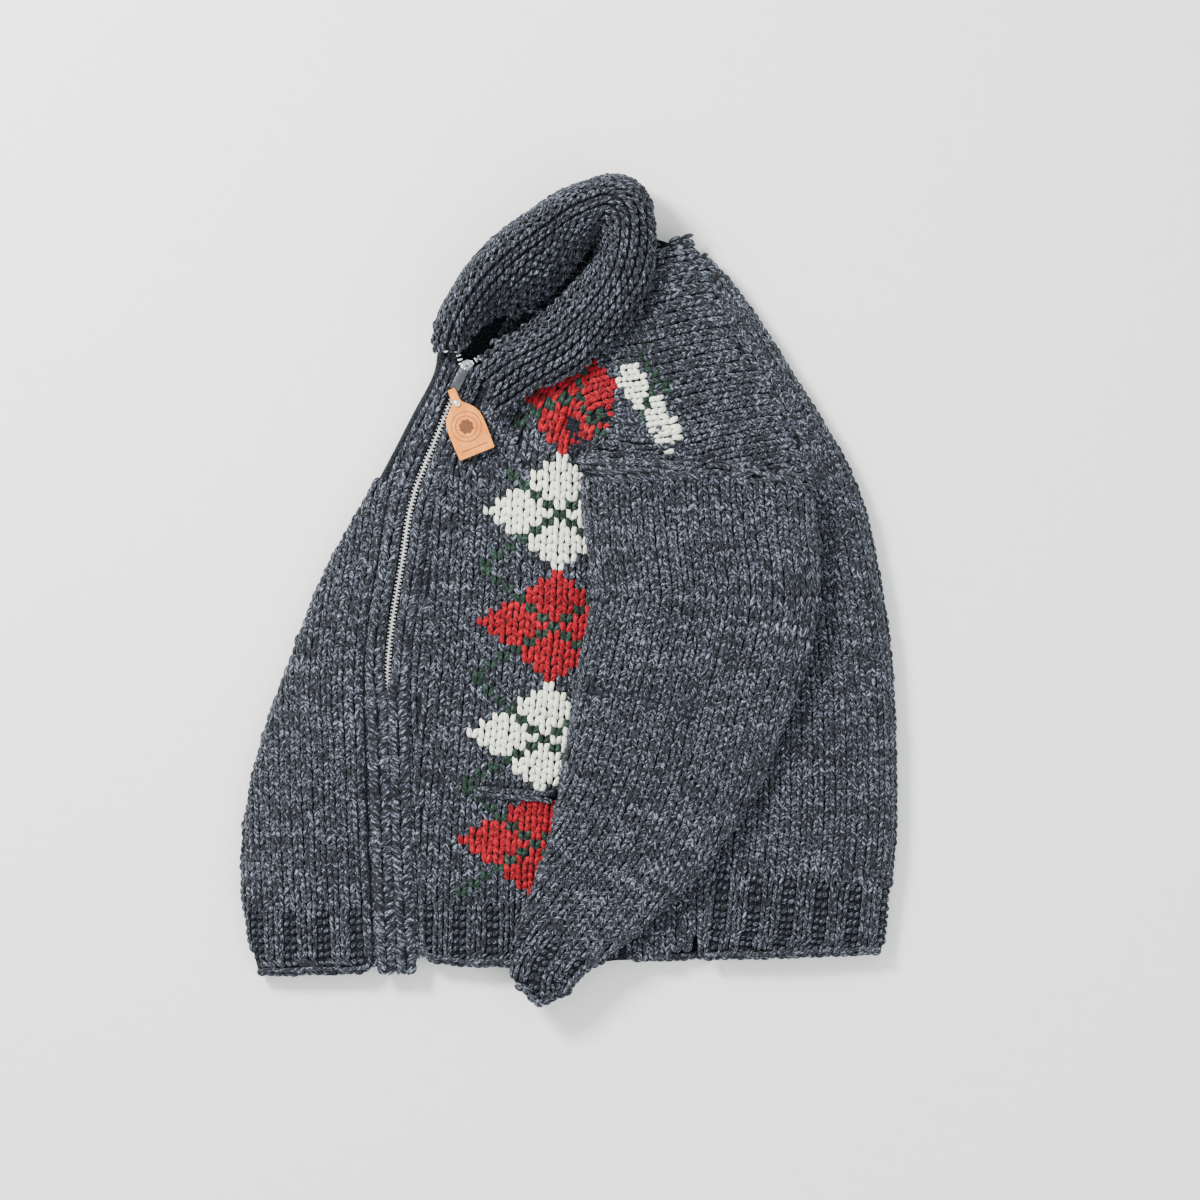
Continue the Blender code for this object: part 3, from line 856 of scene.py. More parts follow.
class Finish(Nodes):
    """A new material, with short calls for its nodes."""

    def __init__(self, name: str) -> None:
        """Makes the material.

        Args:
            name: its name.
        """
        self.material = bpy.data.materials.new(name)
        self.material.use_nodes = True
        super().__init__(self.material.node_tree)

    def place(self) -> bpy.types.NodeSocket:
        """The piece's own coordinates.

        Returns:
            The Object coordinates.
        """
        return self.new("ShaderNodeTexCoord").outputs["Object"]

    def attribute(self, name: str, output: str) -> bpy.types.NodeSocket:
        """One of the mesh's own attributes.

        Args:
            name: the attribute.
            output: the output to take.

        Returns:
            Its value.
        """
        return self.new("ShaderNodeAttribute", attribute_name=name).outputs[output]

    def span(self, value: bpy.types.NodeSocket, *ends: float) -> bpy.types.NodeSocket:
        """A value moved from one range to another, and clamped.

        Args:
            value: the value.
            ends: the two ends that it comes from and, if they aren't 0 and 1, the two that it goes to.

        Returns:
            The new value.
        """
        return self.new("ShaderNodeMapRange", {0: value, **dict(enumerate(ends, 1))}).outputs[0]

    def mixed(
        self, how_much: bpy.types.NodeSocket, base: bpy.types.NodeSocket, other: Sequence[float]
    ) -> bpy.types.NodeSocket:
        """A colour partly covered by another.

        Args:
            how_much: how far it is covered, 0 to 1.
            base: the colour.
            other: the colour that covers it.

        Returns:
            The mixed colour.
        """
        sockets = {"Factor": how_much, 6: base, 7: (*other, 1.0)}
        return self.new("ShaderNodeMix", sockets, data_type="RGBA").outputs[2]

    def done(
        self,
        colour: bpy.types.NodeSocket,
        settings: dict[str, object],
        relief: Optional[tuple[bpy.types.NodeSocket, float, float]] = None,
    ) -> bpy.types.Material:
        """Joins everything to the shader.

        Args:
            colour: the base colour.
            settings: shader input to its value or socket.
            relief: a bump's height, strength and distance.

        Returns:
            The material.
        """
        shader = self.tree.nodes["Principled BSDF"]
        sockets = {"Base Color": colour, **settings}
        if relief:
            height, strength, distance = relief
            bump = self.new("ShaderNodeBump", {"Height": height, "Strength": strength, "Distance": distance})
            sockets["Normal"] = bump.outputs[0]
        self.fill(shader, sockets)
        return self.material


def yarn_group() -> bpy.types.NodeTree:
    """The shared look of twisted yarn.

    Returns:
        A group that gives a fibre value for colour, a fleck mask and a bump height.
    """
    tree = bpy.data.node_groups.new("twisted_yarn", "ShaderNodeTree")
    for name, kind, way in (
        ("Fibre", "NodeSocketVector", "INPUT"),
        ("Tone", "NodeSocketFloat", "INPUT"),
        ("Value", "NodeSocketFloat", "OUTPUT"),
        ("Fleck", "NodeSocketFloat", "OUTPUT"),
        ("Height", "NodeSocketFloat", "OUTPUT"),
    ):
        tree.interface.new_socket(name, in_out=way, socket_type=kind)
    n = Nodes(tree)
    start, end = tree.nodes.new("NodeGroupInput"), tree.nodes.new("NodeGroupOutput")
    ply = n.noise(start.outputs[0], 0.74, 2.0, 0.55)
    streak = n.noise(start.outputs[0], 1.9, 3.0, 0.62)
    fine = n.noise(start.outputs[0], 5.2, 2.0, 0.6)
    strong = n.maths("ADD", n.maths("MULTIPLY", n.maths("SUBTRACT", n.blend(ply, 0.60, streak, 0.40), 0.5), 2.1), 0.5)
    value = n.maths("ADD", strong, n.maths("MULTIPLY", n.maths("SUBTRACT", start.outputs[1], 0.5), 0.13))
    fleck = n.blend(fine, 0.45, streak, 0.55)
    height = n.blend(streak, 0.6, fine, 0.4)
    n.fill(end, {0: value, 1: fleck, 2: height})
    return tree


def wool_material(wool: Wool, group: bpy.types.NodeTree) -> bpy.types.Material:
    """Twisted wool yarn.

    Args:
        wool: its colours.
        group: the shared yarn group.

    Returns:
        The material.
    """
    n = Finish(wool.name)
    sockets = {0: n.attribute("fibre", "Vector"), 1: n.attribute("tone", "Fac")}
    value, fleck, height = n.new("ShaderNodeGroup", sockets, node_tree=group).outputs
    colour = n.ramp(value, [(0.33, wool.dark), (0.47, wool.middle), (0.60, wool.light), (0.76, wool.fleck)])
    colour = n.mixed(n.span(fleck, wool.fleck_from - 0.05, wool.fleck_from + 0.05), colour, wool.fleck)
    settings = {"Roughness": 0.88, "Specular IOR Level": 0.25, "Sheen Weight": 0.12, "Sheen Roughness": 0.45}
    return n.done(colour, settings, (height, 0.55, 0.0012))


def backing_material() -> bpy.types.Material:
    """The cloth between and behind the stitches: painted shade, the same melange darkened as if in shadow, with knit
    relief for the underside.

    Returns:
        The material.
    """
    n = Finish("knit_backing")
    place = n.place()
    parts = n.new("ShaderNodeSeparateXYZ", {0: place}).outputs
    across = n.maths("MULTIPLY", parts[0], 1 / (Loop.wale * MM))
    along = n.maths("MULTIPLY", parts[1], 1 / (Loop.row * MM))
    half = n.maths("ABSOLUTE", n.maths("SUBTRACT", n.maths("FRACT", across), 0.5))
    slanted = n.maths("ADD", along, n.maths("MULTIPLY", half, -1.5))
    rows = n.maths("SINE", n.maths("MULTIPLY", slanted, math.tau))
    wales = n.maths("SINE", n.maths("MULTIPLY", n.maths("MULTIPLY", half, 2.0), math.pi))
    speck = n.noise(place, 620.0, 3.0, 0.7)
    # painted shade: dark colours that stand for the shadow between and under the stitches
    colour = n.ramp(
        speck, [(0.36, (0.001, 0.0012, 0.0016)), (0.50, (0.005, 0.006, 0.009)), (0.66, (0.030, 0.036, 0.050))]
    )
    height = n.blend(n.blend(rows, 0.5, wales, 0.8), 0.5, speck, 0.5)
    settings = {"Roughness": 0.95, "Specular IOR Level": 0.15, "Sheen Weight": 0.03}
    return n.done(colour, settings, (height, 0.9, 0.0016))


def metal_material(name: str, colour: tuple[float, float, float], rough: float) -> bpy.types.Material:
    """Plated metal with fine handling marks.

    Args:
        name: the material's name.
        colour: its reflection colour.
        rough: its mean roughness.

    Returns:
        The material.
    """
    n = Finish(name)
    place = n.place()
    marks, patches = n.noise(place, 900.0, 4.0, 0.5), n.noise(place, 160.0, 2.0, 0.5)
    base = n.ramp(patches, [(0.35, tuple(c * 0.72 for c in colour)), (0.62, colour)])
    settings = {"Roughness": n.span(marks, 0.3, 0.7, rough - 0.08, rough + 0.14), "Metallic": 1.0}
    return n.done(base, settings, (marks, 0.15, 0.0002))


def tape_material() -> bpy.types.Material:
    """Woven zip tape.

    Returns:
        The material.
    """
    n = Finish("zip_tape_weave")
    sockets = {"Vector": n.place(), "Scale": 420.0, "Distortion": 1.5, "Detail": 2.0}
    weave = n.new("ShaderNodeTexWave", sockets).outputs[1]
    colour = n.ramp(weave, [(0.2, (0.020, 0.021, 0.025)), (0.8, (0.065, 0.068, 0.078))])
    return n.done(colour, {"Roughness": 0.85}, (weave, 0.5, 0.0004))


def leather_material() -> bpy.types.Material:
    """Tan leather with pores and a plain stamp: a rosette in two rings, over a line.

    Returns:
        The material.
    """
    n = Finish("leather_tan")
    own = n.attribute("leather_mm", "Vector")
    parts = n.new("ShaderNodeSeparateXYZ", {0: own}).outputs
    pores = n.new("ShaderNodeTexVoronoi", {"Vector": own, "Scale": 1.7, "Randomness": 1.0}).outputs[0]
    blotch = n.noise(own, 0.11, 4.0, 0.6)
    base = n.ramp(blotch, [(0.30, (0.60, 0.175, 0.022)), (0.52, (0.74, 0.235, 0.036)), (0.72, (0.84, 0.31, 0.060))])
    x, y = parts[0], n.maths("SUBTRACT", parts[1], 36.5)
    far = n.maths("SQRT", n.maths("ADD", n.maths("MULTIPLY", x, x), n.maths("MULTIPLY", y, y)))
    turn = n.maths("MULTIPLY", n.maths("ARCTAN2", y, x), 8.0)
    petals = n.maths("ADD", 6.4, n.maths("MULTIPLY", n.maths("SINE", turn), 0.5))
    disc = n.maths("LESS_THAN", far, petals)
    line = n.maths("MULTIPLY", n.near(parts[1], 56.6, 0.42), n.near(x, 0.0, 12.4))
    rings = n.maths("ADD", n.near(far, 9.6, 0.32), n.near(far, 13.6, 0.30))
    stamp = n.maths("MINIMUM", n.maths("ADD", n.maths("ADD", disc, line), rings), 1.0)
    worn = n.span(n.noise(own, 1.3, 2.0, 0.5), 0.3, 0.55, 0.62, 1.0)
    colour = n.mixed(n.maths("MULTIPLY", stamp, worn), base, (0.085, 0.034, 0.020))
    height = n.maths("SUBTRACT", n.maths("MULTIPLY", pores, 0.35), n.maths("MULTIPLY", stamp, 0.7))
    return n.done(colour, {"Roughness": 0.6, "Specular IOR Level": 0.2}, (height, 0.5, 0.0005))


# --------------------------------------------------------------------------- charts of knitting


@dataclass(frozen=True)
class Argyle:
    """The column of diamonds: red and cream by turns, crossed by green lines."""

    pitch: int = 13
    reach: int = 6
    first: int = 0
    last: int = 5

    def yarn(self, wale: int, row: int) -> Yarn:
        """The yarn of one stitch.

        Args:
            wale: columns to the right of the diamonds' middle.
            row: rows up from the middle of the lowest diamond.

        Returns:
            Its yarn.
        """
        k = int(np.clip(round(row / self.pitch), self.first, self.last))
        up = row - self.pitch * k
        side = abs(wale)
        if side == abs(up) and side <= self.reach:
            return Yarn.GREEN
        if side + abs(up) <= self.reach:
            return Yarn.RED if k % 2 == 0 else Yarn.CREAM
        return Yarn.GREY


@dataclass
class Grid:
    """Places of stitches on the cloth: wales across, rows along."""

    points: np.ndarray
    wales: np.ndarray
    rows: np.ndarray
    rib: np.ndarray
    ends: np.ndarray

    def frames(self) -> tuple[np.ndarray, np.ndarray, np.ndarray]:
        """Directions at every place.

        Returns:
            The step across, the step along, and the unit normal.
        """
        p = self.points
        across, along = np.full_like(p, np.nan), np.full_like(p, np.nan)
        across[:, 1:-1] = (p[:, 2:] - p[:, :-2]) / 2
        across[:, 0], across[:, -1] = p[:, 1] - p[:, 0], p[:, -1] - p[:, -2]
        along[1:-1] = (p[2:] - p[:-2]) / 2
        along[0], along[-1] = p[1] - p[0], p[-1] - p[-2]
        for d, roll in ((across, 1), (along, 0)):
            lone = np.isnan(d).any(axis=2)
            ahead = np.roll(p, -1, axis=roll) - p
            behind = p - np.roll(p, 1, axis=roll)
            for cand in (ahead, behind):
                ok = lone & ~np.isnan(cand).any(axis=2) & (np.linalg.norm(np.nan_to_num(cand), axis=2) < 25)
                d[ok] = cand[ok]
                lone &= ~ok
        normal = np.cross(across, along)
        size = np.linalg.norm(normal, axis=2, keepdims=True)
        return across, along, normal / np.maximum(size, 1e-9)


@dataclass
class Patch:
    """A field of knitting counted from one guide line.

    Each side says where the field starts, how far it is looked for, and how many degrees round the fold it goes.
    An apex field counts its wales from the fold instead, so a row that ends short of the fold is moved over.
    """

    path: Path
    row_arcs: np.ndarray
    row_numbers: np.ndarray
    rib_until: float
    right: tuple[float, float, float]
    left: tuple[float, float, float]
    wale: float = 10.4
    apex: bool = False
    rib_pitch: float = 30.0
    short_row: float = 10.0
    first_rows: float = 36.0
    last_rows: float = 12.0

    def wale_places(self, rib: bool, low: float, high: float) -> tuple[np.ndarray, np.ndarray]:
        """Where the wales run.

        Args:
            rib: whether these are rows of rib, whose purl wales draw in.
            low: least offset from the guide line.
            high: greatest offset.

        Returns:
            The offsets, and for each whether it is a purl wale.
        """
        first, last = math.floor(low / self.wale), math.ceil(high / self.wale)
        if not rib:
            k = np.arange(first, last + 1)
            return k * self.wale, np.zeros(len(k), bool)
        groups = np.arange(math.floor(low / self.rib_pitch), math.ceil(high / self.rib_pitch) + 1)
        spots = np.array([0.155, 0.465, 0.70, 0.90]) * self.rib_pitch
        return (groups[:, None] * self.rib_pitch + spots).ravel(), np.tile([False, False, True, True], len(groups))

    def profile(self, cloth: "Layers", at: np.ndarray, out: np.ndarray) -> Optional[tuple[np.ndarray, np.ndarray]]:
        """One row's line over the cloth.

        Args:
            cloth: the panels that it lies on.
            at: where the row crosses the guide line.
            out: unit plan direction to the guide line's right.

        Returns:
            The arcs of the line's points and the points, or None where there is no cloth.
        """
        arcs, lines = [], []
        for sign, (inner, reach, wrap) in ((-1, self.left), (1, self.right)):
            line = cloth.section(at, out * sign, inner, reach, wrap) if reach > inner else None
            if line is None:
                continue
            arc = np.concatenate([[0], np.cumsum(np.linalg.norm(np.diff(line, axis=0), axis=1))]) + inner
            arcs.append(-arc[::-1] if sign < 0 else arc)
            lines.append(line[::-1] if sign < 0 else line)
        if not arcs:
            return None
        arc, line = np.concatenate(arcs), np.concatenate(lines)
        if self.apex:
            outer = int(np.argmax(line[:, :2] @ out))
            short = float((at - line[outer, :2]) @ out)
            arc = arc - arc[outer] - (short if short > self.short_row else 0.0)
        order = np.argsort(arc, kind="stable")
        return arc[order], line[order]

    def lay(self, cloth: "Layers") -> list[Grid]:
        """Casts the field onto the cloth.

        Args:
            cloth: the panels that it lies on.

        Returns:
            One grid for the rib and one for the plain rows.
        """
        p, _, r = self.path.at(self.row_arcs)
        profiles = [self.profile(cloth, at, out) for at, out in zip(p, r)]
        laid = [q for q in profiles if q]
        if not laid:
            return []
        low, high = min(q[0][0] for q in laid), max(q[0][-1] for q in laid)
        grids = []
        for rib in (True, False):
            chosen = [i for i, s in enumerate(self.row_arcs) if (s < self.rib_until) == rib]
            if len(chosen) < 2:
                continue
            places, purl = self.wale_places(rib, low, high)
            points = np.full((len(chosen), len(places), 3), np.nan)
            for a, i in enumerate(chosen):
                if profiles[i] is None:
                    continue
                arc, line = profiles[i]
                inside = (places >= arc[0]) & (places <= arc[-1])
                for k in range(3):
                    points[a, inside, k] = np.interp(places[inside], arc, line[:, k])
            numbers = np.round(places / self.wale).astype(int)
            arcs = self.row_arcs[chosen]
            ends = (arcs < self.first_rows) | (arcs > self.path.length - self.last_rows)
            grids.append(Grid(points, numbers, self.row_numbers[chosen], purl, ends))
        return grids


class Layers:
    """Several panels that one field of knitting runs over."""

    BESIDE = 4.5  # how far beside a sample the seams' slots are bridged
    STEP = 6.0  # depth from which a sample counts as lying in a slot
    MISSES = 9  # samples without cloth that end a section
    DIP = 3.0  # depth of the narrow dips that are left
    TAIL = 30.0  # length of the last piece, which goes round the fold

    def __init__(self, cloths: Sequence[Cloth]) -> None:
        """Takes the panels.

        Args:
            cloths: the panels.
        """
        self.cloths = list(cloths)

    def section(self, at: np.ndarray, out: np.ndarray, inner: float, reach: float, wrap: float) -> Optional[np.ndarray]:
        """The panels' profile together.

        Args:
            at: plan point of the row.
            out: plan direction outwards.
            inner: start of the profile.
            reach: how far it is looked for.
            wrap: degrees round the fold.

        Returns:
            The profile's points, or None.
        """
        if len(self.cloths) == 1:
            return self.cloths[0].section(at, out, inner, reach, wrap)
        offsets = np.arange(inner, reach, SAMPLE)
        best: list[tuple[float, float, int]] = []
        misses = 0
        beside = np.array([-out[1], out[0]]) * self.BESIDE
        for o in offsets:
            spots = (at + out * o, at + out * o + beside, at + out * o - beside)
            found = [(c.down(*q), i, k) for k, q in enumerate(spots) for i, c in enumerate(self.cloths)]
            hits = [(h[2], i) for h, i, k in found if h is not None and k == 0]
            around = [(h[2] - 1.5, i) for h, i, k in found if h is not None]
            if hits and max(around)[0] > max(hits)[0] + self.STEP:
                hits = around
            if not hits:
                misses += 1
                if best and misses > self.MISSES:
                    break
                continue
            misses = 0
            z, i = max(hits)
            best.append((o, z, i))
        if len(best) < 4:
            return None
        flat = np.array([(o, z) for o, z, _ in best])
        for i in range(len(flat)):
            before, after = flat[max(i - 5, 0) : i + 1, 1].max(), flat[i : i + 6, 1].max()
            flat[i, 1] = max(flat[i, 1], min(before, after) - self.DIP)
        line = np.column_stack([at + np.outer(flat[:, 0], out), flat[:, 1]])
        if wrap < FOLDLESS:
            return line
        start = flat[-1, 0] - self.TAIL
        tail = self.cloths[best[-1][2]].section(at, out, start, reach + 10, wrap)
        return line if tail is None else np.vstack([line[flat[:, 0] < start], tail])

    def falls_off(self, point: np.ndarray, up: np.ndarray) -> bool:
        """Whether a stitch would hang over the end of the cloth.

        Args:
            point: its place.
            up: its direction along, with its stretch.

        Returns:
            True if either end has no cloth under it.
        """
        for reach in (-5.6, 5.6):
            q = point + up * reach
            hits = [c.down(q[0], q[1]) for c in self.cloths]
            tops = [h[2] for h in hits if h is not None]
            if not tops or max(tops) < q[2] - 4.5:
                return True
        return False

    def owner(self, point: np.ndarray) -> str:
        """The panel that a place is on.

        Args:
            point: the place.

        Returns:
            The panel's name.
        """
        gaps = [c.tree.find_nearest(Vector(point * MM))[3] for c in self.cloths]
        return self.cloths[int(np.argmin(gaps))].name


def cut_cream(yarn: Yarn, at: np.ndarray) -> Yarn:
    """Ends the shoulder's cream diamond where the fold hides it.

    Args:
        yarn: the yarn of the chart.
        at: the stitch's place.

    Returns:
        That yarn, or grey past the cream's side.
    """
    if yarn is Yarn.GREY or at[1] <= 110 or at[0] <= 30:
        return yarn
    far, side = distance_to(CREAM_SIDE, at[None, :2])
    return Yarn.GREY if side[0] > 0 and (yarn is not Yarn.GREEN or far[0] > 9) else yarn


class Knitter:
    """Fills cloth pieces with stitches."""

    NARROW, SHORT, CROWDED = 4.2, 2.0, 4.6  # cells that get no stitch, and rows that share theirs
    WIDEST, TALLEST = 14.0, 12.0  # how far a stitch is stretched
    TOP = 298.0  # above this the cloth's steep side is left bare

    def __init__(self, cover: Cover, rng: np.random.Generator) -> None:
        """Starts with no stitches.

        Args:
            cover: tells hidden places.
            rng: seeded irregularities.
        """
        self.cover = cover
        self.rng = rng
        self.legs: dict[str, Legs] = {}
        self.shape = Loop()

    def on(self, piece: str) -> Legs:
        """The legs of one piece.

        Args:
            piece: its name.

        Returns:
            Its legs so far.
        """
        return self.legs.setdefault(piece, Legs())

    def tones(self, rows: int, wales: int) -> np.ndarray:
        """Melange tones that drift along the rows, as one yarn is knitted row by row.

        Args:
            rows: number of rows.
            wales: number of wales.

        Returns:
            Tones from 0 to 1.
        """
        noise = self.rng.normal(0, 1, rows * wales + 8)
        soft = np.convolve(noise, [0.25, 0.5, 0.25], "same")
        return np.clip(0.5 + 0.30 * soft[: rows * wales], 0, 1).reshape(rows, wales)

    def field(
        self,
        layers: Layers,
        patch: Patch,
        keep: Callable[[np.ndarray], np.ndarray],
        chart: Optional[Argyle] = None,
    ) -> int:
        """Knits one field.

        Args:
            layers: the panels under it.
            patch: the field.
            keep: tells which places (n by 3) belong to it.
            chart: colours by wale and row, or None for grey.

        Returns:
            The number of stitches.
        """
        count = 0
        for grid in patch.lay(layers):
            across, along, normal = grid.frames()
            rows, wales = grid.points.shape[:2]
            good = ~np.isnan(grid.points).any(axis=2) & ~np.isnan(normal).any(axis=2)
            good &= keep(np.nan_to_num(grid.points, nan=1e6).reshape(-1, 3)).reshape(rows, wales)
            tones = self.tones(rows, wales)
            for a, b in zip(*np.nonzero(good)):
                wide, tall = np.linalg.norm(across[a, b]), np.linalg.norm(along[a, b])
                crowded = tall < self.CROWDED
                if wide < self.NARROW or tall < self.SHORT or (crowded and int(grid.rows[a]) % 2):
                    continue
                sx = min(wide, self.WIDEST) / self.shape.wale
                sy = min(tall * (2 if crowded else 1), self.TALLEST) / self.shape.row
                n = normal[a, b]
                at = grid.points[a, b]
                name = layers.owner(at) if len(layers.cloths) > 1 else layers.cloths[0].name
                if self.cover.hides(at, n, [c.name for c in layers.cloths]):
                    continue
                side = across[a, b] / wide * sx
                up = along[a, b] / tall * sy
                up = up - n * (up @ n)
                side = side - n * (side @ n)
                if (at[1] > self.TOP and n[2] < 0.5) or (grid.ends[a] and layers.falls_off(at, up)):
                    continue
                yarn = cut_cream(chart.yarn(int(grid.wales[b]), int(grid.rows[a])), at) if chart else Yarn.GREY
                if grid.rib[b]:
                    # purl leg, sunk below the knit wales; its tone is scaled by 0.8 as painted shade for the recess
                    self.on(name).add(at - n * 0.5 - up * 2.4, up * 0.85, side * 0.80, n, 1.0, yarn, tones[a, b] * 0.8)
                else:
                    self.on(name).stitch(at, side, up, n, yarn, tones[a, b])
                count += 1
        return count


class CollarForm:
    """The collar's arched surface, and its ridges of garter stitch."""

    def __init__(self, wall: float = 6.0) -> None:
        """Fits the surface.

        Args:
            wall: thickness of the cloth.
        """
        table = [(*o, *c, *i) for o, c, i in COLLAR]
        self.count = 330
        t = np.linspace(0, len(COLLAR) - 1, self.count)
        lines = hermite(table, t)
        outer, crest, inner = lines[:, :3], lines[:, 3:6], lines[:, 6:]
        columns = []
        for a in np.radians(np.arange(0, 90, 4.5)):
            plan = crest[:, :2] + (outer[:, :2] - crest[:, :2]) * math.cos(a)
            columns.append(np.column_stack([plan, outer[:, 2] + (crest[:, 2] - outer[:, 2]) * math.sin(a)]))
        for q in np.linspace(0, 1, 21):
            plan = crest[:, :2] + (inner[:, :2] - crest[:, :2]) * q
            columns.append(np.column_stack([plan, inner[:, 2] + (crest[:, 2] - inner[:, 2]) * (1 - q**1.7)]))
        self.surface = np.array(columns).transpose(1, 0, 2)
        self.crest_column = 20
        along = np.gradient(self.surface, axis=0)
        across = np.gradient(self.surface, axis=1)
        normal = np.cross(along, across)
        normal /= np.maximum(np.linalg.norm(normal, axis=2, keepdims=True), 1e-9)
        if normal[self.count // 2, self.crest_column, 2] < 0:
            normal = -normal
        self.normal = normal
        self.skin = self.surface + normal * wall / 2

    def knit(self, legs: Legs, knitter: Knitter, ridge: float = 9.0, bump: float = 9.6) -> int:
        """Covers the collar with garter stitch.

        Args:
            legs: where the loops go.
            knitter: tones and hidden places.
            ridge: distance between ridges.
            bump: distance between the bumps of a ridge.

        Returns:
            The number of bumps.
        """
        steps = np.linalg.norm(np.diff(self.skin, axis=1), axis=2)
        arc = np.concatenate([np.zeros((self.count, 1)), np.cumsum(steps, axis=1)], axis=1)
        arc -= arc[:, self.crest_column : self.crest_column + 1]
        count = 0
        for k in np.arange(-9, 10, 0.5):
            want = k * ridge
            ok = (arc[:, 0] + 1.0 <= want) & (want <= arc[:, -1] - 1.0)
            if ok.sum() < 4:
                continue
            line, lean = (
                np.array([[np.interp(want, a, part[i, :, c]) for c in range(3)] for i, a in enumerate(arc)])
                for part in (self.skin, self.normal)
            )
            run = np.concatenate([[0], np.cumsum(np.linalg.norm(np.diff(line, axis=0), axis=1))])
            full = float(k) == round(k)
            start = (0.0 if full else bump / 2) + (bump / 2 if round(k) % 2 else 0)
            spots = np.arange(start, run[-1], bump)
            tones = knitter.tones(1, len(spots))[0]
            for s, tone in zip(spots, tones):
                i = int(np.argmin(abs(run - s)))
                if not ok[i] or i < 2 or i > self.count - 3:
                    continue
                at = np.array([np.interp(s, run, line[:, c]) for c in range(3)])
                n = lean[i] / np.linalg.norm(lean[i])
                d = line[i + 2] - line[i - 2]
                d /= np.linalg.norm(d)
                over = np.cross(n, d)
                if knitter.cover.hides(at, n, ["collar"]):
                    continue
                if full:
                    legs.add(at + n * 0.5 - over * 2.2, over * 0.62, d * 0.86, n, 1.0, Yarn.GREY, tone)
                    legs.add(at + n * 0.5 - over * 2.2 + d * 4.8, over * 0.62, -d * 0.86, n, -1.0, Yarn.GREY, tone)
                else:
                    # leg in the furrow between ridges, sunk below them; its tone is scaled by 0.8 as painted shade
                    legs.add(at - n * 1.3, over * 0.55, d * 0.84, n, 1.0, Yarn.GREY, tone * 0.8)
                count += 1
        return count


# --------------------------------------------------------------------------- pieces


def shrink(o: bpy.types.Object, by: float) -> None:
    """Moves a piece's surface inwards, so that its stitches stand on it.

    Args:
        o: the piece.
        by: how far.
    """
    mesh = o.data
    co = np.empty(len(mesh.vertices) * 3)
    mesh.vertices.foreach_get("co", co)
    normal = np.array([v.normal for v in mesh.vertices])
    mesh.vertices.foreach_set("co", (co.reshape(-1, 3) - normal * by * MM).ravel())
    mesh.update()


def add_box(bm: bmesh.types.BMesh, place: Matrix, size: tuple[float, float, float]) -> list[bmesh.types.BMVert]:
    """Adds a box to a mesh under construction.

    Args:
        bm: the mesh.
        place: the box's middle and turn.
        size: its three sizes.

    Returns:
        Its corners.
    """
    return bmesh.ops.create_cube(bm, size=1.0, matrix=place @ Matrix.Diagonal((*size, 1)))["verts"]


def sharp(edges: Iterable[bmesh.types.BMEdge], angle: float = 1.0) -> list[bmesh.types.BMEdge]:
    """The sharp edges among some.

    Args:
        edges: the edges.
        angle: the least angle between their faces, in radians.

    Returns:
        The sharp ones.
    """
    return [e for e in edges if len(e.link_faces) == 2 and e.calc_face_angle(0) > angle]


def round_edges(bm: bmesh.types.BMesh, edges: list[bmesh.types.BMEdge], by: float, segments: int = 2) -> None:
    """Rounds edges of a mesh under construction.

    Args:
        bm: the mesh.
        edges: the edges.
        by: the radius.
        segments: how finely.
    """
    bmesh.ops.bevel(
        bm, geom=edges, offset=by, offset_type="OFFSET", segments=segments, profile=0.5, affect="EDGES", material=-1
    )


def raise_top(bm: bmesh.types.BMesh, made: list, by: float) -> None:
    """Raises the vertices that an extrusion made.

    Args:
        bm: the mesh.
        made: what the extrusion returned.
        by: how far.
    """
    bmesh.ops.translate(bm, vec=(0, 0, by), verts=[g for g in made if isinstance(g, bmesh.types.BMVert)])


def finished(bm: bmesh.types.BMesh, name: str, material: bpy.types.Material, smooth: bool = True) -> bpy.types.Object:
    """Turns a mesh under construction (millimetres) into a piece.

    Args:
        bm: the mesh; it is freed.
        name: the piece's name.
        material: its finish.
        smooth: whether it is shaded smooth.

    Returns:
        The piece.
    """
    bmesh.ops.scale(bm, vec=(MM, MM, MM), verts=bm.verts)
    bm.normal_update()
    bmesh.ops.recalc_face_normals(bm, faces=bm.faces)
    mesh = bpy.data.meshes.new(name)
    bm.to_mesh(mesh)
    bm.free()
    mesh.materials.append(material)
    for p in mesh.polygons:
        p.use_smooth = smooth
    return linked(name, mesh)


@dataclass(frozen=True)
class Placement:
    """A flat part's own frame: x across, y along its run, z up."""

    at: tuple[float, float]
    run: tuple[float, float]
    z: float

    def matrix(self) -> Matrix:
        """The frame as a matrix in millimetres.

        Returns:
            The matrix.
        """
        d = Vector((*self.run, 0)).normalized()
        across = Vector((d.y, -d.x, 0))
        return Matrix.Translation((*self.at, self.z)) @ Matrix((across, d, Vector((0, 0, 1)))).transposed().to_4x4()


@dataclass(frozen=True)
class Tooth:
    """One metal zip tooth: a bar with a rounded head."""

    long: float = 4.6
    wide: float = 1.75
    tall: float = 1.7

    def build(self, bm: bmesh.types.BMesh, place: Matrix) -> None:
        """Adds the tooth to a mesh.

        Args:
            bm: the mesh.
            place: its place, x along the tooth.
        """
        verts = add_box(bm, place, (self.long, self.wide, self.tall))
        round_edges(bm, list({e for v in verts for e in v.link_edges}), 0.42)


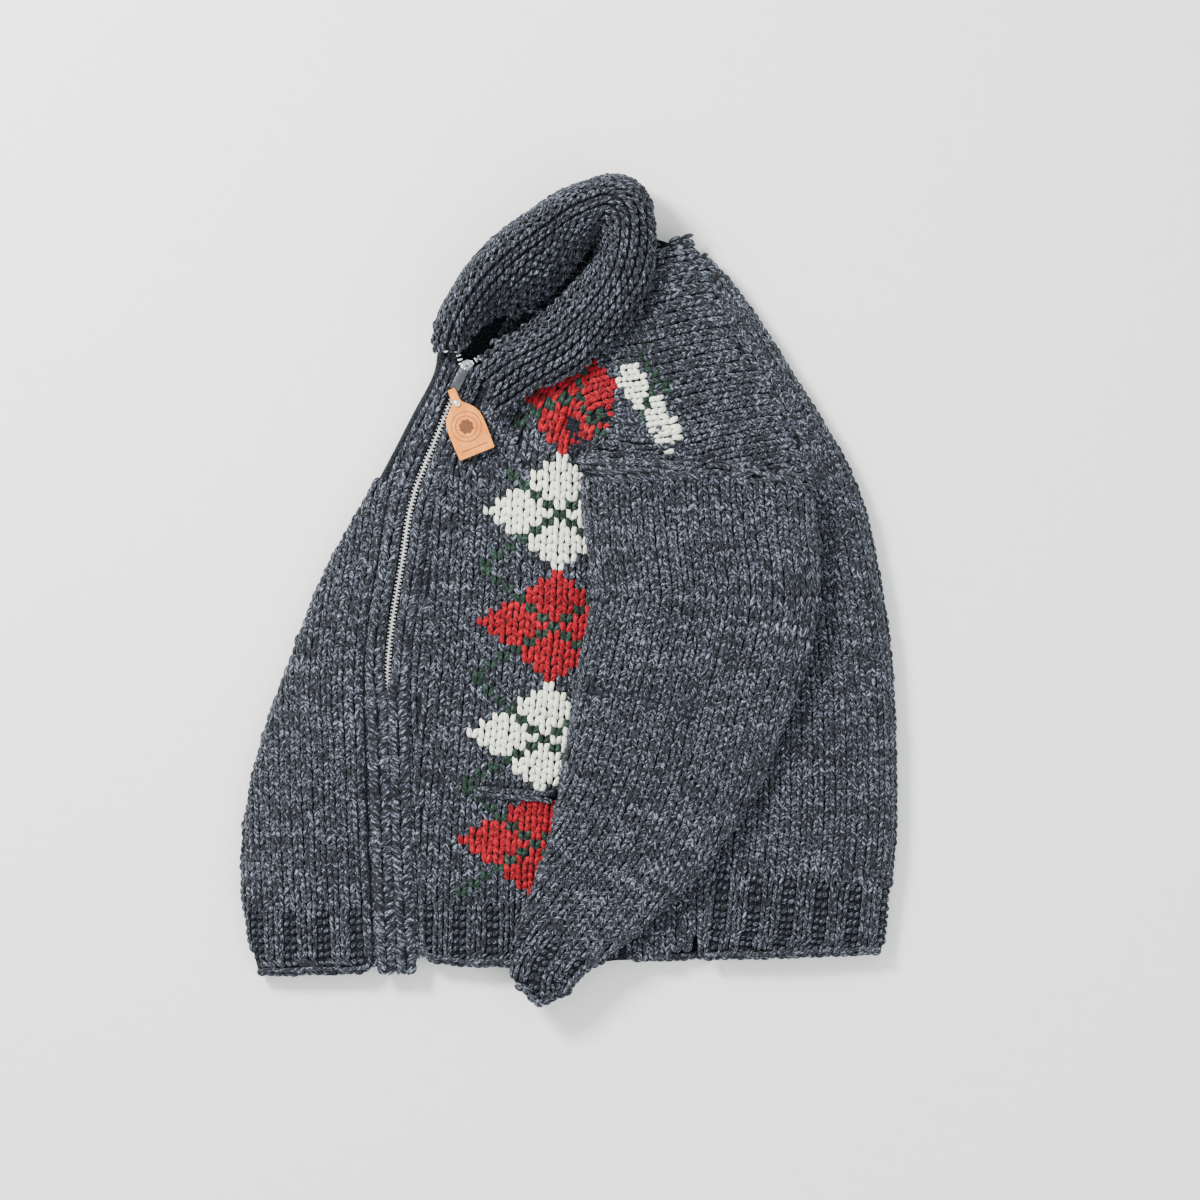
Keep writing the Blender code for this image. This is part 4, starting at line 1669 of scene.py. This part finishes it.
class Zip:
    """The zip: teeth along both tape edges, a slider with its bridge, the metal tab and the leather pull."""

    BRANCHES = (((-95.5, 204.0), (-99.0, 215.0)), ((-88.5, 203.0), (-79.0, 209.0)))

    def __init__(self, nodes: dict[str, bpy.types.Object]) -> None:
        """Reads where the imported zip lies.

        Args:
            nodes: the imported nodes.
        """
        self.path = Path(ZIP_LINE)
        self.tree = Cloth(nodes["zip_chain"], 0)
        self.silver = metal_material("zip_silver", (0.86, 0.86, 0.87), 0.26)
        self.plated = metal_material("tab_nickel", (0.13, 0.135, 0.15), 0.25)
        self.tape = tape_material()

    @staticmethod
    def at_slider(node: str) -> Matrix:
        """The frame of a part that lies on the slider.

        Args:
            node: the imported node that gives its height.

        Returns:
            The frame.
        """
        return Placement((-92.5, 199.0), (-0.468, -0.884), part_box(node)[0].z / MM).matrix()

    def teeth(self, pitch: float = 3.3) -> bpy.types.Object:
        """The rows of teeth, meshed below the slider and parted above it.

        Args:
            pitch: distance between two teeth of one side.

        Returns:
            The piece.
        """
        bm = bmesh.new()
        tooth = Tooth()
        end = self.path.length - 14.0
        spots = np.arange(1.5, end, pitch / 2)
        p, d, r = self.path.at(spots)
        z = None
        for k, (at, run, out) in enumerate(zip(p, d, r)):
            hit = self.tree.down(*at)
            z = hit[2] if hit is not None else z
            if z is None:
                continue
            shows = float(smoothstep((at[1] + 86) / 20))
            side = 1 if k % 2 else -1
            middle = at + out * side * 1.15
            place = Placement(tuple(middle), tuple(run), z - tooth.tall / 2 + 0.15 + 1.9 * shows).matrix()
            tooth.build(bm, place)
        for branch in self.BRANCHES:
            a, b = np.array(branch)
            for q in np.linspace(0, 1, 4):
                at = a + (b - a) * q
                run = (b - a) / np.linalg.norm(b - a)
                tooth.build(bm, Placement(tuple(at), tuple(run), 31.5 + 5.0 * q).matrix())
        bpy.data.objects.remove(self.tree.object)
        teeth = finished(bm, "zip_teeth", self.silver)
        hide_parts("zip_chain")
        return teeth

    def slider(self) -> bpy.types.Object:
        """The slider's body and its bridge.

        Returns:
            The piece.
        """
        place = self.at_slider("slider")
        bm = bmesh.new()
        radius = 4.2
        for z in (0.9, 4.6):
            raised = place @ Matrix.Translation((0, 0, z))
            made = bmesh.ops.create_cone(
                bm, cap_ends=True, segments=28, radius1=radius, radius2=radius, depth=1.5, matrix=raised
            )
            for v in made["verts"]:
                own = place.inverted() @ v.co
                own.y = own.y * 1.7 - 2.6
                own.x *= 1.2 * (1.0 + 0.12 * math.copysign(1, -own.y) * min(abs(own.y) / 6, 1))
                v.co = place @ own
            round_edges(bm, sharp({e for v in made["verts"] for e in v.link_edges}), 0.4)
        add_box(bm, place @ Matrix.Translation((0, -3.2, 2.8)), (1.6, 4.0, 3.6))
        circle = bmesh.ops.create_circle(bm, cap_ends=True, segments=12, radius=0.8)
        turn = Matrix.Translation((0, 4.4, 0)) @ Matrix.Diagonal((1.25, 0.75, 1, 1))
        bmesh.ops.transform(bm, matrix=turn, verts=circle["verts"])
        face = [f for v in circle["verts"] for f in v.link_faces][:1]
        bmesh.ops.spin(
            bm, geom=face, cent=(0, 0, 0), axis=(1, 0, 0), dvec=(0, 0, 0), angle=math.pi, steps=14, use_duplicate=False
        )
        near = {v for v in bm.verts if v.co.length < 7.0 and abs(v.co.y) < 6.5 and -0.9 < v.co.z < 6.5}
        arch = {v for v in circle["verts"] if v.is_valid} | near
        lift = place.copy()
        lift.translation.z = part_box("slider_bridge")[0].z / MM + 0.2
        bmesh.ops.transform(bm, matrix=lift @ Matrix.Diagonal((1, 1, 0.82, 1)), verts=list(arch))
        slider = finished(bm, "slider_body", self.silver)
        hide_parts("slider", "slider_bridge")
        return slider

    def tab(self) -> bpy.types.Object:
        """The metal tab: a plate with a raised rim round its sunk middle.

        Returns:
            The piece.
        """
        place = self.at_slider("pull_tab")
        bm = bmesh.new()
        half = [(4.0, -1.0), (4.7, 1.0), (5.9, 24.5), (5.2, 27.4)]
        outline = [(-4.0, -1.0), *half, *((-x, y) for x, y in half[:0:-1])]
        window = bm.faces.new([bm.verts.new((x, y, 0.0)) for x, y in outline])
        bmesh.ops.inset_individual(bm, faces=[window], thickness=1.05, depth=0.0)
        solid = bmesh.ops.extrude_face_region(bm, geom=[f for f in bm.faces if f is not window])
        raise_top(bm, solid["geom"], 1.6)
        bmesh.ops.delete(bm, geom=[window], context="FACES_ONLY")
        bmesh.ops.holes_fill(bm, edges=[e for e in bm.edges if e.is_boundary], sides=0)
        bmesh.ops.transform(bm, matrix=place, verts=bm.verts)
        add_box(bm, place @ Matrix.Translation((0, 10.5, 0.75)), (8.6, 20.5, 0.7))
        round_edges(bm, sharp(bm.edges), 0.28)
        tab = finished(bm, "pull_tab_plate", self.plated)
        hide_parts("pull_tab")
        return tab

    def leather(self) -> bpy.types.Object:
        """The leather pull: a bottle-shaped piece with rounded edges.

        Returns:
            The piece.
        """
        low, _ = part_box("leather_pull")
        half = [
            (0.0, 3.1), (0.8, 3.6), (6.0, 3.7), (11.0, 3.9), (14.0, 4.9), (16.0, 7.0), (18.5, 9.8), (21.5, 12.6),
            (25.0, 15.0), (29.0, 16.4), (34.0, 17.2), (40.0, 17.4), (50.0, 17.2), (61.8, 16.8), (62.7, 16.5),
            (63.0, 15.8),
        ]
        place = Placement((-104.5, 181.0), (0.375, -0.927), low.z / MM)
        bm = bmesh.new()
        outline = [(h, d) for d, h in half] + [(-h, d) for d, h in half[::-1]]
        face = bm.faces.new([bm.verts.new((x, y, 0.25)) for x, y in outline])
        solid = bmesh.ops.extrude_face_region(bm, geom=[face])
        raise_top(bm, solid["geom"], 2.1)
        if face.is_valid and not any(len(e.link_faces) == 2 for e in face.edges):
            bm.faces.remove(face)
        bmesh.ops.holes_fill(bm, edges=[e for e in bm.edges if e.is_boundary], sides=0)
        rim = [e for e in sharp(bm.edges, 1.2) if abs(e.verts[0].co.z - e.verts[1].co.z) < 0.01]
        round_edges(bm, rim, 0.55, 3)
        layer = bm.verts.layers.float_vector.new("leather_mm")
        for v in bm.verts:
            v[layer] = v.co
            v.co.z += 1.1 * float(smoothstep((v.co.y - 40) / 24)) + 0.5 * (v.co.x / 16.0) ** 2
        bmesh.ops.transform(bm, matrix=place.matrix(), verts=bm.verts)
        leather = finished(bm, "leather_tag", leather_material())
        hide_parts("leather_pull")
        return leather

    def rivet(self) -> bpy.types.Object:
        """The rivet: a domed head with a rolled rim and a dimple.

        Returns:
            The piece.
        """
        low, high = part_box("rivet")
        centre = (low + high) / 2 / MM
        place = (centre.x, centre.y, low.z / MM + 0.2)
        bm = bmesh.new()
        bmesh.ops.create_circle(bm, cap_ends=True, segments=28, radius=3.0)
        bmesh.ops.extrude_face_region(bm, geom=bm.faces[:])
        top = [f for f in bm.faces if len(f.verts) > 4][-1]
        bmesh.ops.translate(bm, vec=(0, 0, 0.9), verts=list(top.verts))
        for inwards, rise in ((0.7, 0.35), (0.9, 0.0), (0.4, -0.25)):
            bmesh.ops.inset_individual(bm, faces=[top], thickness=inwards, depth=rise)
        bmesh.ops.translate(bm, vec=place, verts=bm.verts)
        rivet = finished(bm, "rivet_head", self.silver)
        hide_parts("rivet")
        return rivet


@dataclass(frozen=True)
class Panel:
    """A cloth piece's cut, and what it lies on."""

    node: str
    flat: tuple[float, float]
    area: float
    rests_on: tuple[str, ...]
    held: str = "folded"


CLOTHS = (
    "left_front", "back", "right_front", "left_sleeve", "collar", "left_band", "right_band", "pocket_welt",
    "right_sleeve",
)
PANELS = (
    Panel("back", (0.64, 0.72), 0.33, ("right_sleeve_roll",)),
    Panel("left_front", (0.30, 0.68), 0.145, ("back_cloth",)),
    Panel("right_front", (0.32, 0.68), 0.13, ("back_cloth",)),
    Panel("left_sleeve", (0.46, 0.52), 0.17, ("left_front_cloth", "back_cloth")),
    Panel("collar", (0.13, 0.48), 0.043, ("left_front_cloth", "right_front_cloth")),
)


class Bands:
    """The knitted edge cords beside the zip, and the pocket's lip."""

    def __init__(self, cloths: dict[str, Cloth]) -> None:
        """Takes the cords' own surfaces.

        Args:
            cloths: the cloth pieces by name.
        """
        self.cloths = cloths

    def knit(self, knitter: Knitter, row: float = 8.2) -> int:
        """Covers both cords with one column of plump loops, and their flanks with single legs.

        Args:
            knitter: where the loops go.
            row: their pitch.

        Returns:
            The number of loops.
        """
        path = Path(ZIP_LINE)
        count = 0
        spots = np.arange(5.0, path.length - 2, row)
        p, d, r = path.at(spots)
        for name, sign in (("left_band", 1), ("right_band", -1)):
            cloth = self.cloths[name]
            legs = knitter.on(name)
            tones = knitter.tones(1, len(spots))[0]
            for at, run, out, tone in zip(p, d, r, tones):
                found = [(o, cloth.down(*(at + out * sign * o))) for o in np.arange(0.0, 26.0, 0.5)]
                hits = [(o, hit[2]) for o, hit in found if hit is not None]
                if len(hits) < 6:
                    continue
                start, end = hits[0][0], hits[-1][0]
                middle, half = (start + end) / 2, (end - start) / 2
                top = max(h[1] for h in hits)
                shut = float(1 - smoothstep((at[1] + 92) / 14))
                place = np.array([*(at + out * sign * (middle - 1.3 * shut)), top])
                up = np.array([*run, 0.0]) * row / ROW * 1.04
                across = np.array([*out, 0.0])
                n = np.array([0.0, 0.0, 1.0])
                if knitter.cover.hides(place, n, [name]):
                    continue
                wide = half / 5.2 * (0.86 + 0.12 * shut)
                legs.stitch(place - n * 0.3, across * wide, up, n, Yarn.GREY, tone)
                for side in (-1, 1):
                    lean = np.array([*(out * side), 0.0]) * 0.80 + n * 0.60
                    flank = place + across * side * half * 0.84 - n * 2.6
                    cross = np.cross(up, lean)
                    cross /= np.linalg.norm(cross)
                    # flank leg on the cord's side, below its top; its tone is scaled by 0.9 as painted shade
                    legs.add(flank - cross * 2.4, cross * 0.82, up, lean, 1.0, Yarn.GREY, tone * 0.9)
                count += 1
        return count

    def lip(self, knitter: Knitter) -> int:
        """Covers the pocket's lip.

        Args:
            knitter: where the loops go.

        Returns:
            The number of loops.
        """
        cloth, legs, count = self.cloths["pocket_welt"], knitter.on("pocket_welt"), 0
        a, b = np.array((-82.0, -181.0)), np.array((-12.0, -186.0))
        d = (b - a) / np.linalg.norm(b - a)
        along, over, n = np.array([*d, 0.0]), np.array([-d[1], d[0], 0.0]), np.array([0, 0, 1.0])
        for s in np.arange(2.5, np.linalg.norm(b - a) - 1, 7.0):
            hit = cloth.down(*(a + d * s))
            if hit is None:
                continue
            tone = knitter.rng.uniform(0.2, 0.8)
            legs.stitch(hit - n * 0.3, over * 1.02, along * 0.98, n, Yarn.GREY, tone)
            count += 1
        return count


class Edges:
    """Chains of stitches that finish edges and seams."""

    def __init__(self, knitter: Knitter) -> None:
        """Takes the knitter.

        Args:
            knitter: where the loops go.
        """
        self.knitter = knitter

    def chain(
        self,
        line: Sequence[Sequence[float]],
        cloths: Sequence[Cloth],
        tilt: float = 0.0,
        width: float = 1.0,
        lift: float = 0.0,
    ) -> int:
        """Lays one chain along a line, on the highest cloth.

        Args:
            line: plan points.
            cloths: the cloth pieces it may lie on; the first one owns it.
            tilt: how far the chain leans to the right of its run.
            width: its width in wales.
            lift: how far it is raised.

        Returns:
            The number of stitches.
        """
        path = Path(line)
        spots = np.arange(2.0, path.length, 7.2)
        p, d, r = path.at(spots)
        legs = self.knitter.on(cloths[0].name)
        count = 0
        for at, run, out in zip(p, d, r):
            spots = (at, at + out * 4.0, at - out * 4.0)
            hits = [h[2] for h in (c.down(*q) for c in cloths for q in spots) if h is not None]
            if not hits:
                continue
            top = np.array([*at, max(hits)])
            n = np.array([*(out * tilt), 1.0])
            n /= np.linalg.norm(n)
            along = np.array([*run, 0.0])
            across = np.cross(along, n)
            legs.stitch(top + n * lift, across * width, along, n, Yarn.GREY, self.knitter.rng.uniform(0.15, 0.85))
            count += 1
        return count

    def hem(self, cloth: Cloth, x0: float, x1: float, inset: float = 2.6, lowest: float = -385.0) -> int:
        """Finishes a panel's lower edge.

        Args:
            cloth: the panel.
            x0: plan x where the edge starts.
            x1: plan x where it ends.
            inset: how far inside the edge the chain lies.
            lowest: plan y to look from.

        Returns:
            The number of stitches.
        """
        line = []
        for x in np.arange(x0, x1 + 0.1, 7.0):
            ys = [y for y in np.arange(lowest, lowest + 110, 1.0) if cloth.down(x, y) is not None]
            if ys:
                line.append((x, ys[0] + inset))
        if len(line) < 3:
            return 0
        return self.chain(line, [cloth], tilt=0.8, width=0.8)


class Studio:
    """Pale floor, soft key from the upper left, fill, and the camera straight above."""

    def build(self) -> None:
        """Makes the floor, the lights and the camera."""
        bm = bmesh.new()
        bmesh.ops.create_grid(bm, x_segments=1, y_segments=1, size=4000.0)
        n = Finish("studio_floor")
        colour = n.ramp(n.noise(n.place(), 60.0, 2.0, 0.5), [(0.3, (0.905, 0.902, 0.89)), (0.7, (0.92, 0.917, 0.905))])
        floor = finished(bm, "floor", n.done(colour, {"Roughness": 0.9}), smooth=False)
        floor.location.z = -0.0006
        floor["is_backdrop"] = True
        self.lamp("key", (-1.35, 1.2, 1.7), 0.6, 120.0, (1.0, 0.985, 0.96))
        self.lamp("fill", (1.6, -0.9, 2.2), 1.8, 26.0, (0.94, 0.97, 1.0))
        world = bpy.data.worlds.new("studio")
        world.use_nodes = True
        Nodes(world.node_tree).fill(world.node_tree.nodes["Background"], {0: (0.96, 0.98, 1.0, 1.0), 1: 1.4})
        bpy.context.scene.world = world
        data = bpy.data.cameras.new("camera")
        sensor, away, across = 36.0, 4.0, 1.08  # the frame is 1.08 m across at 4 m
        data.lens = sensor * away / across
        data.sensor_width = sensor
        data.clip_end = 30.0
        camera = linked("camera", data)
        camera.location = (0.02925, -0.00855, 4.03)
        bpy.context.scene.camera = camera

    def lamp(
        self,
        name: str,
        at: tuple[float, float, float],
        size: float,
        power: float,
        colour: tuple[float, float, float],
    ) -> None:
        """A square soft light aimed at the garment.

        Args:
            name: its name.
            at: its place in metres.
            size: its side in metres.
            power: its watts.
            colour: its colour.
        """
        data = bpy.data.lights.new(name, "AREA")
        data.shape = "SQUARE"
        data.size = size
        data.energy = power
        data.color = colour
        o = linked(name, data)
        o.location = at
        o.rotation_euler = (-Vector(at)).to_track_quat("-Z", "Y").to_euler()


def row_numbers(path: Path, knots: Sequence[float], pitch_rows: int, row: float) -> tuple[np.ndarray, np.ndarray]:
    """Rows of the diamond column: their arcs and numbers, with each diamond's middle on its knot.

    Args:
        path: the column's line.
        knots: arcs of the diamonds' middles.
        pitch_rows: rows from one diamond to the next.
        row: row pitch beyond the diamonds.

    Returns:
        The arcs and the row numbers.
    """
    inner = np.arange(0, pitch_rows * (len(knots) - 1) + 1)
    arcs = np.interp(inner, np.arange(len(knots)) * pitch_rows, knots)
    before = np.arange(knots[0] - row, 2.0, -row)[::-1]
    after = np.arange(knots[-1] + row, path.length, row)
    numbers = np.concatenate([np.arange(-len(before), 0), inner, inner[-1] + 1 + np.arange(len(after))])
    return np.concatenate([before, arcs, after]), numbers


class Region:
    """Shares the body out between its fields; each test takes places (n by 3) and says which belong."""

    SIDE_SEAM = 45.0  # x where the left front's field gives way to the strip
    YOKE = 95.0  # y above which the shoulder's fold does
    GAP = 24.5  # the fronts' fields start this far from the zip

    @staticmethod
    def all(p: np.ndarray) -> np.ndarray:
        """Every place.

        Args:
            p: the places.

        Returns:
            True for each.
        """
        return np.ones(len(p), bool)

    @staticmethod
    def in_pit(p: np.ndarray) -> np.ndarray:
        """The dip between the two shoulder diamonds, where chains of stitches run across.

        Args:
            p: the places.

        Returns:
            Whether each belongs.
        """
        past_red = 0.861 * (p[:, 0] - 22) - 0.509 * (p[:, 1] - 124) > 2
        before_cream = 0.70 * (p[:, 0] - 33) + 0.71 * (p[:, 1] - 184) < -4
        return past_red & before_cream & (p[:, 1] > 112)

    @staticmethod
    def beside_zip(p: np.ndarray) -> np.ndarray:
        """The left front beside the zip's top, where the rows follow the zip.

        Args:
            p: the places.

        Returns:
            Whether each belongs.
        """
        return (p[:, 1] > 108) & (p[:, 0] < -36 - 0.25 * (p[:, 1] - 108))

    @classmethod
    def front(cls, p: np.ndarray) -> np.ndarray:
        """The left front and the shoulder, but for the two regions above.

        Args:
            p: the places.

        Returns:
            Whether each belongs.
        """
        far, side = distance_to(Path(ZIP_LINE).points[::20], p[:, :2])
        _, of_fold = distance_to(SHOULDER_FOLD, p[:, :2])
        inner = np.where(p[:, 1] < cls.YOKE, p[:, 0] < cls.SIDE_SEAM, (of_fold < 0) | (p[:, 1] > 330))
        return (side < 0) & (far > cls.GAP) & inner & ~cls.beside_zip(p) & ~cls.in_pit(p)

    @classmethod
    def strip(cls, p: np.ndarray) -> np.ndarray:
        """The back's strip on the right, but for the hem beside the cuff, which chains of stitches cover.

        Args:
            p: the places.

        Returns:
            Whether each belongs.
        """
        _, of_fold = distance_to(SHOULDER_FOLD, p[:, :2])
        by_cuff = (p[:, 1] < -256) & (p[:, 0] < 121)
        return np.where(p[:, 1] < cls.YOKE, p[:, 0] >= cls.SIDE_SEAM, of_fold > 0) & ~by_cuff


class Plan:
    """Everything that is knitted, in its order."""

    ZIP_HEM, ZIP_NECK = (-153.6, -358), (-82, 222)  # the zip's line goes on past the hem and into the neck

    def __init__(self, cloths: dict[str, Cloth], rng: np.random.Generator) -> None:
        """Takes the cloth.

        Args:
            cloths: the cloth pieces by name.
            rng: seeded irregularities.
        """
        self.cloths = cloths
        self.knitter = Knitter(Cover(cloths), rng)
        self.edges = Edges(self.knitter)
        self.zip = Path([self.ZIP_HEM, *ZIP_LINE, self.ZIP_NECK])

    def pick(self, *names: str) -> list[Cloth]:
        """Some of the cloth pieces.

        Args:
            names: their names.

        Returns:
            The pieces.
        """
        return [self.cloths[name] for name in names]

    def field(
        self,
        names: Sequence[str],
        path: Path,
        rows: tuple[float, float],
        rib: float,
        sides: Sequence[tuple[float, float, float]],
        keep: Callable[[np.ndarray], np.ndarray],
        wale: float = 10.0,
        apex: bool = False,
    ) -> int:
        """Knits one plain field.

        Args:
            names: the panels under it.
            path: its guide line.
            rows: arcs where its rows start and end.
            rib: arc up to which it is rib.
            sides: its right and its left.
            keep: tells which places belong to it.
            wale: pitch of its wales.
            apex: whether its wales are counted from the fold.

        Returns:
            The number of stitches.
        """
        arcs = np.arange(*rows, ROW)
        patch = Patch(path, arcs, np.arange(len(arcs)), rib, *sides, wale=wale, apex=apex)
        return self.knitter.field(Layers(self.pick(*names)), patch, keep)

    def body(self) -> int:
        """Knits the left front with its diamonds, the field beside the zip, and the strip of the back.

        Returns:
            The number of stitches.
        """
        column = Path([(-33.5, -358), *ARGYLE_LINE])
        middles = [column.knot_arc(k) for k in (2, 3, 4, 5, 8, 10)]
        arcs, numbers = row_numbers(column, middles, Argyle.pitch, ROW)
        front = Patch(column, arcs, numbers, 74.0, (0.0, 120.0, NO_FOLD), (0.0, 150.0, NO_FOLD), wale=10.8)
        names = ("left_front", "back")
        count = self.knitter.field(Layers(self.pick(*names)), front, Region.front, Argyle())
        neck = (self.zip.knot_arc(7), self.zip.length - 2)
        count += self.field(names, self.zip, neck, 0.0, ((25.0, 96.0, NO_FOLD), NO_SIDE), Region.beside_zip, 10.6)
        edge = Path([(283, -348), *RIGHT_OUTLINE])
        sides = ((-262.0, 16.0, 55.0), NO_SIDE)
        return count + self.field(names, edge, (2.0, edge.length + 4), 78.0, sides, Region.strip, apex=True)

    def right_front(self) -> int:
        """Knits the right front.

        Returns:
            The number of stitches.
        """
        sides = (NO_SIDE, (Region.GAP, 190.0, 55.0))
        return self.field(["right_front"], self.zip, (2.0, self.zip.length - 4), 74.0, sides, Region.all)

    def sleeve(self) -> int:
        """Knits the sleeve, from its cuff up.

        Returns:
            The number of stitches.
        """
        arm, side = Path(SLEEVE_LINE[::-1]), (0.0, 130.0, 48.0)
        return self.field(["left_sleeve"], arm, (3.0, arm.length - 1.0), 58.0, (side, side), Region.all)

    def hems(self) -> int:
        """Finishes the hems and the cuff.

        Returns:
            The number of stitches.
        """
        spans = {
            "left_front": (-134.0, -44.0), "back": (60.0, 284.0), "right_front": (-278.0, -178.0),
            "left_sleeve": (-52.0, 24.0),
        }
        return sum(self.edges.hem(self.cloths[name], *span) for name, span in spans.items())

    def seams(self) -> int:
        """Lays chains beside the zip, over the arm's seam, in the shoulder's dip, by the cuff and at the neck.

        Returns:
            The number of stitches.
        """
        chain, count = self.edges.chain, 0
        for name, sign in (("left_front", 1), ("right_front", -1)):
            at, _, out = self.zip.at(np.arange(14.0, self.zip.length - 12, 6.0))
            narrow = 7.0 * smoothstep((at[:, 1] - 100) / 90)
            line = at + out * sign * (21.4 - narrow)[:, None]
            count += chain([tuple(q) for q in line], self.pick(name), tilt=-0.25 * sign, width=0.86, lift=-0.5)
        arm = self.pick("left_sleeve", "left_front", "back")
        count += chain([(12, 117), (50, 119), (90, 117), (130, 114), (170, 108), (212, 98)], arm, tilt=-0.4, lift=0.5)
        under_arm = [(7, 113), (35, 112), (60, 111), (85, 109), (110, 106), (135, 103), (160, 100)]
        count += chain(under_arm, arm, tilt=0.2, width=0.9, lift=-0.6)
        for y, x0, x1 in ((124.0, 24, 100), (134.5, 30, 92), (145.0, 36, 82), (155.5, 42, 70), (166.0, 48, 62)):
            line = [(x, y + 3.0 * math.sin(x / 15)) for x in np.linspace(x0, x1, 5)]
            count += chain(line, self.pick("left_front"), lift=-0.4)
        for x in (58.0, 68.0, 78.0, 88.0, 98.0, 108.0, 116.5):
            top = -322 + (x - 52) * 1.147
            count += chain([(x, -345), (x, (top - 345) / 2), (x, top)], self.pick("left_front"), lift=-0.3)
        count += chain([(122.5, -343), (122.5, -300), (122.5, -256)], self.pick("back", "left_front"), lift=-0.5)
        neck = [(-58, 228), (-50, 244.5), (-43, 259)]
        return count + chain(neck, self.pick("right_front", "back"), width=1.25, lift=4.0)

    def knit(self) -> Knitter:
        """Knits everything.

        Returns:
            The knitter, holding every piece's legs.
        """
        bands = Bands(self.cloths)
        for what, job in (
            ("body", self.body),
            ("right front", self.right_front),
            ("sleeve", self.sleeve),
            ("collar", lambda: CollarForm().knit(self.knitter.on("collar"), self.knitter)),
            ("hems", self.hems),
            ("seams", self.seams),
            ("bands", lambda: bands.knit(self.knitter)),
            ("pocket lip", lambda: bands.lip(self.knitter)),
        ):
            LOG.info("%s: %d stitches", what, job())
        return self.knitter


def make_stitches(knitter: Knitter, rng: np.random.Generator) -> dict[str, bpy.types.Object]:
    """Makes every piece's stitches.

    Args:
        knitter: what was knitted.
        rng: seeded irregularities.

    Returns:
        The stitch pieces by the cloth's name.
    """
    template = LoopTemplate(knitter.shape)
    of_leg = sum(len(f) - 2 for f in template.faces)
    stitches: dict[str, bpy.types.Object] = {}
    for name, legs in knitter.legs.items():
        made = legs.mesh(f"{name}_stitches", template, rng)
        if made is None:
            continue
        stitches[name] = made
        LOG.info("%s: %d legs, %d triangles", name, len(legs.at), len(legs.at) * of_leg)
        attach(made, "garment")
    return stitches


def show_cloths(cloths: dict[str, Cloth]) -> None:
    """Shows the cloth under the stitches.

    Args:
        cloths: the cloth pieces by name.
    """
    backing = backing_material()
    for name, cloth in cloths.items():
        o = cloth.object
        o.data.materials.clear()
        o.data.materials.append(backing)
        shrink(o, 1.5 if name != "right_sleeve" else 0.0)
        o.name = "right_sleeve_roll" if name == "right_sleeve" else f"{name}_cloth"
        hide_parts(name)
        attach(o, "garment")
    for panel in PANELS:
        o = bpy.data.objects[f"{panel.node}_cloth"]


def show_zip(nodes: dict[str, bpy.types.Object]) -> None:
    """Builds the zip's pieces and dresses its packed tape.

    Args:
        nodes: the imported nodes.
    """
    zipper = Zip(nodes)
    for make, body, slot in (
        (zipper.teeth, "garment", "metal"),
        (zipper.slider, "garment", "metal"),
        (zipper.tab, "zip_pull", "metal"),
        (zipper.leather, "zip_pull", "leather"),
        (zipper.rivet, "zip_pull", "metal"),
    ):
        piece = make()
        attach(piece, body)
    tape = nodes["zip_tape"]
    tape.data.materials.clear()
    tape.data.materials.append(zipper.tape)


def main() -> None:
    """Builds the cardigan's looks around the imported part."""
    logging.basicConfig(level=logging.INFO, format="%(message)s")
    rng = np.random.default_rng(SEED)
    group = yarn_group()
    for yarn, wool in WOOL_COLOURS.items():
        WOOLS[yarn] = wool_material(wool, group)
    cloths = {name: Cloth(NODES[name]) for name in CLOTHS}
    stitches = make_stitches(Plan(cloths, rng).knit(), rng)
    show_cloths(cloths)
    show_zip(NODES)
    Studio().build()
    corners = [[list(c) for c in BOX], [list(c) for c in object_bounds()]]
    for k, axis in enumerate("XYZ"):
        ends = (c[k] / MM for pair in corners for c in pair)
        LOG.info("%s: part %.1f to %.1f mm, looks %.1f to %.1f mm", axis, *ends)


for spare in list(bpy.data.objects):
    bpy.data.objects.remove(spare)
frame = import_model()
NODES = frame["nodes"]
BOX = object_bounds()

if __name__ == "__main__":
    main()
